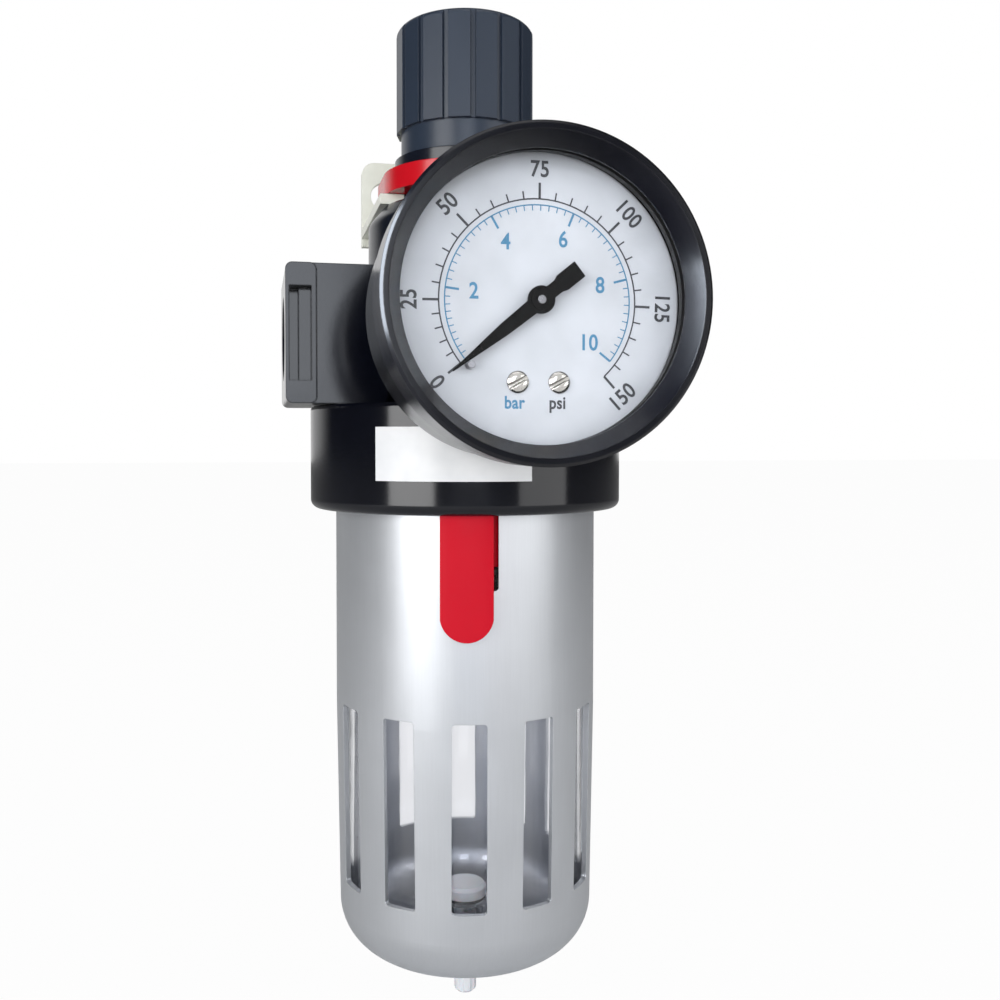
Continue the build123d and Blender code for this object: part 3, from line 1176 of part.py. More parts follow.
def tube_tip():
    """Cap on the tube's closed end, with the post that the link starts from."""
    radial, deep = TUBE_SECTION
    half = TIP_LENGTH / 2
    proud = 2 * TIP_CAP_PROUD
    cap = Pos(TUBE_RADIUS, -half, TUBE_MIDDLE) * Box(radial + proud, TIP_LENGTH, deep + proud)
    post = cylinder(LINK_END_RADIUS, TUBE_MIDDLE + deep / 2, LINK_DEPTH - LOOSE_GAP)
    post = at(TUBE_RADIUS, -half, post)
    return GAUGE_PLANE * (Rot(0, 0, TUBE_TIP_ANGLE) * (cap + post))


def sector_pivot():
    """The sector's pivot on the gauge face."""
    distance = GEAR_MODULE * (PINION_TEETH + SECTOR_TEETH) / 2
    return arc_point(distance, SECTOR_ANGLE)


def tail_pin():
    """The pin on the sector's tail."""
    px, py = sector_pivot()
    dx, dy = arc_point(SECTOR_TAIL, SECTOR_TAIL_ANGLE)
    return px + dx, py + dy


def movement_plate(depth):
    """One plate of the movement, drilled for its pillars and pivots."""
    outline = make_face(Polyline(*PILLAR_PLACES, close=True))
    outline = offset(outline, 3.6, kind=Kind.ARC)
    solid = Pos(0, 0, depth) * extrude(outline, MOVEMENT_PLATE)
    for x, y in (*PILLAR_PLACES, sector_pivot()):
        solid -= at(x, y, cylinder(PIVOT_RADIUS + RUNNING_GAP, depth - 1, depth + 2))
    return GAUGE_PLANE * (solid - cylinder(ARBOR_RADIUS + RUNNING_GAP, depth - 1, depth + 2))


def movement_pillars():
    """Three shouldered pillars that carry and space the movement plates."""
    rear, front = PLATE_DEPTHS
    pillars = None
    for x, y in PILLAR_PLACES:
        pillar = cylinder(PILLAR_RADIUS, rear + MOVEMENT_PLATE, front)
        pillar += cylinder(PIVOT_RADIUS, rear, front + MOVEMENT_PLATE)
        pillar = at(x, y, pillar)
        pillars = pillar if pillars is None else pillars + pillar
    return GAUGE_PLANE * pillars


def tooth_flank(teeth, tip_radius, root_radius, thin):
    """Half a tooth outline as (radius, half angle) pairs, from root to tip."""
    pitch = GEAR_MODULE * teeth / 2
    alpha = math.radians(PRESSURE_ANGLE)
    base = pitch * math.cos(alpha)
    half_at_pitch = math.pi / (2 * teeth) - thin / (2 * pitch)
    involute = math.tan(alpha) - alpha
    pairs = []
    start = max(base, root_radius)
    if root_radius < base:
        pairs.append((root_radius, half_at_pitch + involute))
    for i in range(5):
        radius = start + (tip_radius - start) * i / 4
        local = math.acos(min(1.0, base / radius))
        pairs.append((radius, half_at_pitch + involute - (math.tan(local) - local)))
    return pairs


def tooth(teeth, tip_radius, root_radius, thin, angle):
    """One tooth as a flat face about an angle in degrees, starting a little inside the root."""
    pairs = tooth_flank(teeth, tip_radius, root_radius, thin)
    turn = math.radians(angle)
    inner = (root_radius - 0.3, pairs[0][1])
    one_side = [inner, *pairs]
    points = [(r * math.cos(turn - a), r * math.sin(turn - a)) for r, a in one_side]
    points += [(r * math.cos(turn + a), r * math.sin(turn + a)) for r, a in reversed(one_side)]
    return make_face(Polyline(*points, close=True))


def pinion_arbor():
    """Arbor with the ten-tooth pinion and the collet of the hairspring."""
    pitch = GEAR_MODULE * PINION_TEETH / 2
    root = pitch - 1.0 * GEAR_MODULE
    tip = pitch + 1.0 * GEAR_MODULE
    wheel = Circle(root)
    for i in range(PINION_TEETH):
        angle = SECTOR_ANGLE + 360 / PINION_TEETH * i
        wheel += tooth(PINION_TEETH, tip, root, BACKLASH, angle)
    spare = LINK_GAP / 2
    solid = Pos(0, 0, SECTOR_DEPTH - spare) * extrude(wheel, SECTOR_THICKNESS + 2 * spare)
    foot = SOCKET_BLOCK_FRONT - ARBOR_FOOT + LOOSE_GAP
    solid += cylinder(ARBOR_RADIUS, foot, POINTER_DEPTH + POINTER_THICKNESS + 0.3)
    solid += cylinder(COLLET_RADIUS, HAIRSPRING_DEPTH, HAIRSPRING_DEPTH + COLLET_HEIGHT)
    return GAUGE_PLANE * solid


def sector_gear():
    """Toothed sector with its pivot, its tail and the pin for the link."""
    pitch = GEAR_MODULE * SECTOR_TEETH / 2
    tip = pitch + 0.55 * GEAR_MODULE
    root = pitch - 1.25 * GEAR_MODULE
    middle = SECTOR_ANGLE + 180
    low, high = SECTOR_SPAN
    step = 360 / SECTOR_TEETH
    first = math.ceil(low / step)
    last = math.floor(high / step)
    rim = wedge_face(root, middle + low, middle + high) - Circle(root - 2.0)
    for i in range(first, last + 1):
        rim += tooth(SECTOR_TEETH, tip, root, BACKLASH, middle + step * (i + 0.5))
    arm = wedge_face(root - 1.0, middle + low + 10, middle + high - 10)
    arm -= Circle(root - 2.5) & wedge_face(root, middle + low + 18, middle + high - 18) - Circle(3.6)
    tail_end = arc_point(SECTOR_TAIL, SECTOR_TAIL_ANGLE)
    tail = SlotCenterPoint((tail_end[0] / 2, tail_end[1] / 2), tail_end, 2.4)
    plate = rim + arm + Circle(2.2) + tail
    solid = Pos(0, 0, SECTOR_DEPTH) * extrude(plate, SECTOR_THICKNESS)
    rear, front = PLATE_DEPTHS
    solid += cylinder(PIVOT_RADIUS, rear + 0.1, front + MOVEMENT_PLATE - 0.1)
    solid += cylinder(1.6, rear + MOVEMENT_PLATE + 0.3, front - 0.3)
    solid += at(*tail_end, cylinder(LINK_PIN_RADIUS, SECTOR_DEPTH, LINK_DEPTH + LINK_THICKNESS + 0.3))
    return GAUGE_PLANE * at(*sector_pivot(), solid)


def wedge_face(radius, start, end):
    """A pie slice between two angles."""
    count = max(2, math.ceil((end - start) / 15))
    points = [arc_point(radius * 1.3, start + (end - start) * i / count) for i in range(count + 1)]
    return Circle(radius) & make_face(Polyline((0, 0), *points, close=True))


def movement_link():
    """Link from the sector's tail to the post on the tube's tip."""
    x0, y0 = tail_pin()
    lean = math.degrees(math.atan2(TIP_LENGTH / 2, TUBE_RADIUS))
    x1, y1 = arc_point(math.hypot(TUBE_RADIUS, TIP_LENGTH / 2), TUBE_TIP_ANGLE - lean)
    length = math.hypot(x1 - x0, y1 - y0)
    strip = Pos(length / 2, 0) * Rectangle(length, 1.0) + Circle(LINK_END_RADIUS)
    strip += Pos(length, 0) * Circle(LINK_END_RADIUS)
    strip -= Circle(LINK_PIN_RADIUS + RUNNING_GAP)
    turn = math.degrees(math.atan2(y1 - y0, x1 - x0))
    solid = Pos(0, 0, LINK_DEPTH) * extrude(strip, LINK_THICKNESS)
    return GAUGE_PLANE * at(x0, y0, Rot(0, 0, turn) * solid)


def hairspring():
    """Flat spiral that takes the play out of the gears."""
    turns = 3.0
    inner, outer = 1.9, 4.6
    thickness = 0.2
    count = 36
    low = HAIRSPRING_DEPTH + (COLLET_HEIGHT - HAIRSPRING_HEIGHT) / 2
    edge = []
    for shift in (0.0, thickness):
        side = []
        for i in range(count + 1):
            angle = 360 * turns * i / count
            radius = inner + (outer - inner) * i / count + shift
            side.append(arc_point(radius, angle))
        edge.append(side)
    inside = Spline(*edge[0])
    outside = Spline(*edge[1])
    ends = [Line(edge[0][-1], edge[1][-1]), Line(edge[1][0], edge[0][0])]
    face = make_face(Curve() + [inside, outside, *ends])
    tab = block((COLLET_RADIUS + 0.02, inner + thickness), (-0.25, 0.25), (low, low + HAIRSPRING_HEIGHT))
    return GAUGE_PLANE * (Pos(0, 0, low) * extrude(face, HAIRSPRING_HEIGHT) + tab)


def gauge_pointer():
    """Pointer: long taper to the tip, round hub, straight tail."""
    half_root = POINTER_ROOT_WIDTH / 2
    half_tail = POINTER_TAIL_WIDTH / 2
    half_neck = POINTER_NECK_WIDTH / 2
    neck = -POINTER_TAIL * 0.45
    broad = -POINTER_TAIL * 0.55
    blade = make_face(Polyline(
        (0, -half_root), (POINTER_TIP * 0.42, -half_root * 0.8), (POINTER_TIP, -0.15),
        (POINTER_TIP, 0.15), (POINTER_TIP * 0.42, half_root * 0.8), (0, half_root), close=True,
    ))
    tail = make_face(Polyline(
        (0, -half_neck), (neck, -half_neck), (broad, -half_tail), (-POINTER_TAIL, -half_tail),
        (-POINTER_TAIL, half_tail), (broad, half_tail), (neck, half_neck), (0, half_neck),
        close=True,
    ))
    shape = blade + tail + Circle(POINTER_HUB_RADIUS)
    solid = extrude(shape, POINTER_THICKNESS)
    solid += Cylinder(POINTER_HUB_RADIUS * 0.75, 1.0, align=(Align.CENTER, Align.CENTER, Align.MIN))
    solid -= Cylinder(ARBOR_RADIUS + 0.02, 4)
    return GAUGE_PLANE * (Pos(0, 0, POINTER_DEPTH) * (Rot(0, 0, POINTER_ANGLE) * solid))


def blank_label():
    """Thin curved label on the collar, left blank."""
    inner = COLLAR_RADIUS + LABEL_STANDOFF
    outer = inner + LABEL_THICKNESS
    return sector(inner, outer, LABEL_BOTTOM, LABEL_TOP, LABEL_CENTRE, LABEL_HALF_ANGLE)


def build_all():
    """Make every piece."""
    add("body_casting", body_casting())
    add("rear_port_plug", rear_port_plug())
    add("blank_label", blank_label())
    add("bowl_guard", bowl_guard())
    add("clear_bowl", clear_bowl())
    add("bowl_seal", bowl_seal())
    add("lock_button", lock_button())
    add("button_spring", button_spring())
    add("drain_valve", drain_valve())
    add("drain_seal", drain_seal())
    add("swirl_deflector", swirl_deflector())
    add("filter_element", ring(ELEMENT_BORE, ELEMENT_RADIUS, ELEMENT_BOTTOM, ELEMENT_TOP))
    add("filter_baffle", filter_baffle())
    add("filter_bolt", filter_bolt())
    add("valve_guide", valve_guide())
    add("guide_seal", guide_seal())
    add("valve_poppet", valve_poppet())
    add("valve_pad", valve_pad())
    add("valve_spring", coil(VALVE_SPRING_RADIUS, VALVE_SPRING_WIRE, GUIDE_TOP,
                             SEAT_BOTTOM - POPPET_THICKNESS, 4))
    add("lower_diaphragm_plate", lower_diaphragm_plate())
    add("upper_diaphragm_plate", upper_diaphragm_plate())
    add("diaphragm", diaphragm())
    add("main_spring", coil(SPRING_MEAN_RADIUS, SPRING_WIRE, PLATE_TOP, NUT_BOTTOM, SPRING_TURNS))
    add("bonnet", bonnet())
    add("adjusting_screw", adjusting_screw())
    add("spring_nut", spring_nut())
    add("knob", knob())
    add("knob_detent_ring", knob_detent_ring())
    add("bracket_clip", bracket_clip())
    add("bracket", bracket())
    add("gauge_socket", gauge_socket())
    add("gauge_case", gauge_case())
    add("case_screws", case_screws())
    add("gauge_bezel", gauge_bezel())
    add("gauge_lens", gauge_lens())
    add("lens_gasket", lens_gasket())
    add("gauge_dial", gauge_dial())
    add("dial_screws", dial_screws())
    add("stop_pin", stop_pin())
    add("dial_pillars", dial_pillars())
    add("bourdon_tube", bourdon_tube())
    add("tube_tip", tube_tip())
    add("rear_movement_plate", movement_plate(PLATE_DEPTHS[0]))
    add("front_movement_plate", movement_plate(PLATE_DEPTHS[1]))
    add("movement_pillars", movement_pillars())
    add("pinion_arbor", pinion_arbor())
    add("sector_gear", sector_gear())
    add("movement_link", movement_link())
    add("hairspring", hairspring())
    add("gauge_pointer", gauge_pointer())


def write_all():
    """Move every piece to the row's origin and write it."""
    os.makedirs("parts", exist_ok=True)
    to_origin = Pos(0, -WALL_OFFSET, -BRACKET_HOLE_Z)
    for name, solid in parts.items():
        export_step(to_origin * solid, f"parts/{name}.step")


build_all()
write_all()
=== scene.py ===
"""Looks of the compressed-air filter regulator.

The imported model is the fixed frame. This script gives each of its pieces a finish, adds the
printing on the gauge dial and the threads in the ports, and sets the studio and the camera.
Lengths are in metres, in the frame of the part: +Z up, -Y towards the gauge, +X to the outlet.
"""

import logging
import math
from dataclasses import dataclass, field
from enum import Enum
from typing import Any

import bmesh
import bpy
from mathutils import Matrix, Vector


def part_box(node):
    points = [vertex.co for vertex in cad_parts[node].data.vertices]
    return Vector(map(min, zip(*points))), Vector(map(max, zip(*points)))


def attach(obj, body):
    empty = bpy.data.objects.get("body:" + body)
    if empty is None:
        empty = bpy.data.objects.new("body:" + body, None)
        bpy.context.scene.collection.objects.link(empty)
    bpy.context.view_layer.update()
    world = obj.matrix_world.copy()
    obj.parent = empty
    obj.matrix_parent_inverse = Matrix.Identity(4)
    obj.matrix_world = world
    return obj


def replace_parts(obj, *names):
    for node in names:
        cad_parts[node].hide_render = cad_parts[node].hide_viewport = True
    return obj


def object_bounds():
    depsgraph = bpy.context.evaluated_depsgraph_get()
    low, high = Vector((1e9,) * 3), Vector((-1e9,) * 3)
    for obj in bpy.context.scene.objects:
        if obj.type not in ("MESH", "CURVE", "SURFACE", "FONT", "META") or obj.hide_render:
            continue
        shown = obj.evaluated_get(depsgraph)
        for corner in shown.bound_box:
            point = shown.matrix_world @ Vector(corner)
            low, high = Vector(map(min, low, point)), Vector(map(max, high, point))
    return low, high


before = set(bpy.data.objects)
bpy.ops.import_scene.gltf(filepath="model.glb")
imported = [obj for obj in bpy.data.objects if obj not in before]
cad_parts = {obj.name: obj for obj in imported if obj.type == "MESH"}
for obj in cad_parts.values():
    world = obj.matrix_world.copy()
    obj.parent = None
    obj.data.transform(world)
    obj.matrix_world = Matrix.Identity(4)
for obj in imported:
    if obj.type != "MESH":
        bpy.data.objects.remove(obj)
CAD_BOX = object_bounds()

MM = 0.001
SAME_POINT = 0.0001 * MM
WHITE = (1.0, 1.0, 1.0, 1.0)
LOG = logging.getLogger("filter_regulator")
Colour = tuple[float, float, float]


# Shader expressions


class Wire:
    """An output socket that can be used in Python arithmetic, adding a Math node each time."""

    def __init__(self, graph: "Graph", socket: bpy.types.NodeSocket) -> None:
        """Keep the output socket and the graph that new nodes go to."""
        self.graph = graph
        self.socket = socket

    def _math(self, operation: str, *operands: "Wire | float") -> "Wire":
        """Result of a new Math node that does one operation on its inputs in order."""
        values = dict(enumerate(operands))
        return self.graph.add("ShaderNodeMath", {"operation": operation}, values)

    def __add__(self, other: "Wire | float") -> "Wire":
        """Sum of the two."""
        return self._math("ADD", self, other)

    def __radd__(self, other: float) -> "Wire":
        """Sum with a number on the left."""
        return self._math("ADD", other, self)

    def __sub__(self, other: "Wire | float") -> "Wire":
        """Difference of the two."""
        return self._math("SUBTRACT", self, other)

    def __rsub__(self, other: float) -> "Wire":
        """Difference with a number on the left."""
        return self._math("SUBTRACT", other, self)

    def __mul__(self, other: "Wire | float") -> "Wire":
        """Product of the two."""
        return self._math("MULTIPLY", self, other)

    def __rmul__(self, other: float) -> "Wire":
        """Product with a number on the left."""
        return self._math("MULTIPLY", other, self)

    def sine(self) -> "Wire":
        """Sine of this value."""
        return self._math("SINE", self)

    def clamp(self) -> "Wire":
        """This value kept between 0 and 1."""
        return self._math("MINIMUM", self._math("MAXIMUM", self, 0.0), 1.0)

    def ramp(self, low: float, high: float) -> "Wire":
        """A smooth step from 0 at low to 1 at high.

        Args:
            low: Value at which the step starts.
            high: Value at which it ends.

        Returns:
            The step.
        """
        settings = {"interpolation_type": "SMOOTHSTEP"}
        values = {"Value": self, "From Min": low, "From Max": high}
        return self.graph.add("ShaderNodeMapRange", settings, values)


class Graph:
    """The node tree of one material or world, filled through one method."""

    def __init__(self, tree: bpy.types.NodeTree) -> None:
        """Keep the node tree that is filled, and clear it."""
        self.tree = tree
        tree.nodes.clear()

    def add(
        self,
        kind: str,
        settings: dict[str, Any] | None = None,
        values: dict[Any, Any] | None = None,
        output: int | str = 0,
    ) -> Wire:
        """Add a node, set it up and connect it.

        Args:
            kind: The node's type.
            settings: Its own properties.
            values: Numbers, colours or wires for its inputs, by name or place.
            output: The output that is handed back.

        Returns:
            A wire from that output.
        """
        node = self.tree.nodes.new(kind)
        for name, value in (settings or {}).items():
            setattr(node, name, value)
        for key, value in (values or {}).items():
            socket = node.inputs[key]
            if isinstance(value, Wire):
                self.tree.links.new(value.socket, socket)
            else:
                socket.default_value = value
        return Wire(self, node.outputs[output]) if len(node.outputs) else Wire(self, None)

    def place(self) -> Wire:
        """Position on the piece, in metres."""
        return self.add("ShaderNodeTexCoord", output="Object")

    def noise(self, grain: float, detail: float = 3.0,
              stretch: tuple[float, float, float] | None = None) -> Wire:
        """Cloudy variation around 0.5.

        Args:
            grain: Size of the clouds in metres.
            detail: How many finer layers lie over them.
            stretch: How much longer the clouds are along each axis.

        Returns:
            The variation.
        """
        spot = self.place()
        if stretch is not None:
            factors = [1.0 / s for s in stretch]
            spot = self.add("ShaderNodeVectorMath", {"operation": "MULTIPLY"}, {0: spot, 1: factors})
        values = {"Vector": spot, "Scale": 1.0 / grain, "Detail": detail}
        return self.add("ShaderNodeTexNoise", None, values)

    def blend(self, share: Wire, first: Any, second: Any) -> Wire:
        """Mix two colours.

        Args:
            share: How much of the second colour shows.
            first: Colour or wire at 0.
            second: Colour or wire at 1.

        Returns:
            The mixed colour.
        """
        pair = [c if isinstance(c, Wire) else (*c, 1.0) for c in (first, second)]
        values = {0: share, 6: pair[0], 7: pair[1]}
        return self.add("ShaderNodeMix", {"data_type": "RGBA"}, values, output=2)

    def relief(self, height: Wire, depth: float, below: Wire | None = None) -> Wire:
        """A bump from a height between 0 and 1.

        Args:
            height: The height.
            depth: Real height in metres of a full step.
            below: A normal that the bump goes over.

        Returns:
            The bent normal.
        """
        values: dict[Any, Any] = {"Height": height, "Distance": depth, "Strength": 1.0}
        if below is not None:
            values["Normal"] = below
        return self.add("ShaderNodeBump", None, values)

    def rounded_edges(self, radius: float) -> Wire:
        """A normal that eases sharp edges to a radius in metres."""
        return self.add("ShaderNodeBevel", {"samples": 4}, {"Radius": radius})

    def seen_by_camera(self) -> Wire:
        """Tell the camera's rays, straight or through clear pieces, from all others.

        Returns:
            1 for the camera's rays and 0 for the others.
        """
        camera = self.add("ShaderNodeLightPath", output="Is Camera Ray")
        through = self.add("ShaderNodeLightPath", output="Is Transmission Ray")
        return (camera + through).clamp()

    def surface(self, values: dict[Any, Any]) -> Wire:
        """The main shader with the given inputs."""
        return self.add("ShaderNodeBsdfPrincipled", None, values)

    def output(self, shader: Wire, kind: str = "ShaderNodeOutputMaterial") -> None:
        """Send a shader to the output."""
        self.add(kind, None, {"Surface": shader})


# Finishes


def tint(colour: Colour, factor: float) -> Colour:
    """A colour made lighter or darker by a factor."""
    return tuple(min(1.0, c * factor) for c in colour)


@dataclass(frozen=True)
class Finish:
    """A finish that makes one material.

    In the finishes below, the sizes of clouds, grain and marks, their depths and the radius of a
    softened edge are real lengths in metres, and the other numbers are shares.
    """

    name: str
    slot: str
    colour: Colour

    def material(self) -> bpy.types.Material:
        """Build the material once and hand it back on each later call.

        Returns:
            The material.
        """
        found = bpy.data.materials.get(self.name)
        if found is not None:
            return found
        material = bpy.data.materials.new(self.name)
        material.use_nodes = True
        graph = Graph(material.node_tree)
        graph.output(self.shader(graph))
        material.diffuse_color = (*self.colour, 1.0)
        return material

    def shader(self, graph: Graph) -> Wire:
        """The shader of this finish, built in a material's graph."""
        raise NotImplementedError

    def toned(self, graph: Graph, share: Wire, first: float, second: float) -> Wire:
        """The colour, times the first factor where the share is 0 and the second where it is 1."""
        return graph.blend(share, tint(self.colour, first), tint(self.colour, second))

    def dress(self, *nodes: str) -> None:
        """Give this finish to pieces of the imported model.

        Args:
            nodes: Names of the pieces.
        """
        material = self.material()
        for name in nodes:
            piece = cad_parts[name]
            piece.data.materials.clear()
            piece.data.materials.append(material)
            LOG.info("%s wears %s", name, self.name)


@dataclass(frozen=True)
class Coating(Finish):
    """Semi-gloss paint over a casting or a pressing, with a faint orange peel."""

    roughness: float = 0.25
    peel: float = 0.9 * MM
    peel_depth: float = 0.004 * MM
    edge: float = 0.35 * MM
    dust: float = 0.12
    cloud: float = 9 * MM
    speck: float = 0.25 * MM

    def shader(self, graph: Graph) -> Wire:
        """Paint whose gloss and tone wander a little, with eased edges.

        Args:
            graph: The material's graph.

        Returns:
            The shader.
        """
        clouds = graph.noise(self.cloud)
        peel = graph.noise(self.peel, 2.0)
        worn = graph.noise(self.speck, 4.0).ramp(0.56, 0.75) * self.dust
        colour = graph.blend(worn, self.toned(graph, clouds, 0.8, 1.2), tint(self.colour, 3.0))
        normal = graph.relief(peel, self.peel_depth, graph.rounded_edges(self.edge))
        roughness = self.roughness * 0.8 + clouds * (self.roughness * 0.4) + worn * 0.3
        return graph.surface({"Base Color": colour, "Roughness": roughness, "Normal": normal})


@dataclass(frozen=True)
class Moulded(Finish):
    """Injection-moulded plastic with a fine spark-eroded grain."""

    roughness: float = 0.35
    grain: float = 0.22 * MM
    grain_depth: float = 0.004 * MM
    edge: float = 0.3 * MM
    shine: float = 0.5
    through: float = 0.0
    flow: float = 14 * MM
    flow_stretch: tuple[float, float, float] = (1.0, 1.0, 2.5)
    glow_depth: tuple[float, float, float] = (1.2 * MM, 0.5 * MM, 0.4 * MM)

    def shader(self, graph: Graph) -> Wire:
        """Plastic with grain, flow clouds and softened edges.

        Args:
            graph: The material's graph.

        Returns:
            The shader.
        """
        grain = graph.noise(self.grain)
        flow = graph.noise(self.flow, 2.0, self.flow_stretch)
        colour = self.toned(graph, flow, 0.88, 1.12)
        normal = graph.relief(grain, self.grain_depth, graph.rounded_edges(self.edge))
        roughness = self.roughness * 0.85 + flow * (self.roughness * 0.3)
        values = {"Base Color": colour, "Roughness": roughness, "Normal": normal}
        values["Specular IOR Level"] = self.shine
        if self.through:
            values["Subsurface Weight"] = self.through
            values["Subsurface Radius"] = self.glow_depth
        return graph.surface(values)


@dataclass(frozen=True)
class Satin(Finish):
    """Blasted and plated metal with a soft sheen."""

    roughness: float = 0.4
    grain: float = 0.12 * MM
    grain_depth: float = 0.006 * MM
    edge: float = 0.2 * MM
    metal: float = 1.0
    cloud: float = 16 * MM
    draw: float = 0.35 * MM
    draw_stretch: tuple[float, float, float] = (1.0, 1.0, 40.0)

    def shader(self, graph: Graph) -> Wire:
        """Metal with a blasted grain and faint vertical drawing marks.

        Args:
            graph: The material's graph.

        Returns:
            The shader.
        """
        grain = graph.noise(self.grain)
        drawn = graph.noise(self.draw, stretch=self.draw_stretch)
        tone = graph.noise(self.cloud) * 0.6 + drawn * 0.4
        colour = self.toned(graph, tone, 0.9, 1.08)
        normal = graph.relief(grain, self.grain_depth, graph.rounded_edges(self.edge))
        roughness = self.roughness * 0.85 + tone * (self.roughness * 0.3)
        values = {"Base Color": colour, "Roughness": roughness, "Normal": normal}
        values["Metallic"] = self.metal
        return graph.surface(values)


class Lay(Enum):
    """Axis that a turned piece spun about, which its tool marks circle."""

    UPRIGHT = "Z"
    FACING = "Y"


@dataclass(frozen=True)
class Turned(Finish):
    """Machined metal with fine rings from the tool."""

    lay: Lay = Lay.UPRIGHT
    roughness: float = 0.28
    pitch: float = 0.16 * MM
    ring_depth: float = 0.004 * MM
    edge: float = 0.15 * MM
    tarnish: float = 3 * MM

    def shader(self, graph: Graph) -> Wire:
        """Metal with rings across the turning axis and a little tarnish.

        Args:
            graph: The material's graph.

        Returns:
            The shader.
        """
        along = graph.add("ShaderNodeSeparateXYZ", None, {0: graph.place()}, self.lay.value)
        tarnish = graph.noise(self.tarnish, 4.0)
        colour = self.toned(graph, tarnish, 0.8, 1.1)
        rings = (along * (2 * math.pi / self.pitch)).sine() * 0.5 + 0.5
        normal = graph.relief(rings, self.ring_depth, graph.rounded_edges(self.edge))
        roughness = self.roughness * 0.8 + tarnish * (self.roughness * 0.5)
        values = {"Base Color": colour, "Roughness": roughness, "Normal": normal, "Metallic": 1.0}
        return graph.surface(values)


@dataclass(frozen=True)
class Elastomer(Finish):
    """Black rubber with a bloom."""

    bloom: float = 2.5 * MM
    grain: float = 0.15 * MM
    grain_depth: float = 0.008 * MM

    def shader(self, graph: Graph) -> Wire:
        """Dull rubber with a pale bloom in patches.

        Args:
            graph: The material's graph.

        Returns:
            The shader.
        """
        bloom = graph.noise(self.bloom, 4.0).ramp(0.45, 0.8)
        colour = self.toned(graph, bloom, 1.0, 2.2)
        normal = graph.relief(graph.noise(self.grain), self.grain_depth)
        return graph.surface({"Base Color": colour, "Roughness": bloom * 0.2 + 0.6, "Normal": normal})


@dataclass(frozen=True)
class Porous(Finish):
    """Sintered bead plastic of the filter element."""

    bead: float = 0.45 * MM
    pore_depth: float = 0.12 * MM

    def shader(self, graph: Graph) -> Wire:
        """Beads packed together, with painted shade darkening the pores between them.

        Args:
            graph: The material's graph.

        Returns:
            The shader.
        """
        values = {"Vector": graph.place(), "Scale": 1.0 / self.bead}
        distance = graph.add("ShaderNodeTexVoronoi", None, values)
        # painted shade: the colour darkens towards the pores between the beads, where less light
        # reaches
        painted_pore_shade = distance.ramp(0.35, 0.75)
        colour = self.toned(graph, painted_pore_shade, 1.0, 0.45)
        normal = graph.relief(1.0 - distance, self.pore_depth)
        return graph.surface({"Base Color": colour, "Roughness": 0.8, "Normal": normal})


@dataclass(frozen=True)
class Clear(Finish):
    """Clear plastic or glass that lets the lamps through."""

    ior: float = 1.45
    roughness: float = 0.02
    ripple: float = 0.0
    ripple_length: float = 11 * MM
    cloud: float = 6 * MM

    def shader(self, graph: Graph) -> Wire:
        """Refracting shader, and plain see-through for rays from the lamps.

        Args:
            graph: The material's graph.

        Returns:
            The shader.
        """
        haze = graph.noise(self.cloud).ramp(0.35, 0.8) * 0.05
        values = {"Base Color": (*self.colour, 1.0), "IOR": self.ior, "Transmission Weight": 1.0}
        values["Roughness"] = haze + self.roughness
        if self.ripple:
            values["Normal"] = graph.relief(graph.noise(self.ripple_length, 1.0), self.ripple)
        solid = graph.surface(values)
        thin = graph.add("ShaderNodeBsdfTransparent", None, {"Color": (*self.colour, 1.0)})
        lamp = graph.add("ShaderNodeLightPath", output="Is Shadow Ray")
        return graph.add("ShaderNodeMixShader", None, {0: lamp, 1: solid, 2: thin})


@dataclass(frozen=True)
class Ink(Finish):
    """Screen-printed ink with slightly uneven cover."""

    patch: float = 0.3 * MM

    def shader(self, graph: Graph) -> Wire:
        """Matt ink a little thinner in places.

        Args:
            graph: The material's graph.

        Returns:
            The shader.
        """
        cover = graph.noise(self.patch, 2.0)
        colour = self.toned(graph, cover, 0.85, 1.2)
        return graph.surface({"Base Color": colour, "Roughness": cover * 0.2 + 0.45})


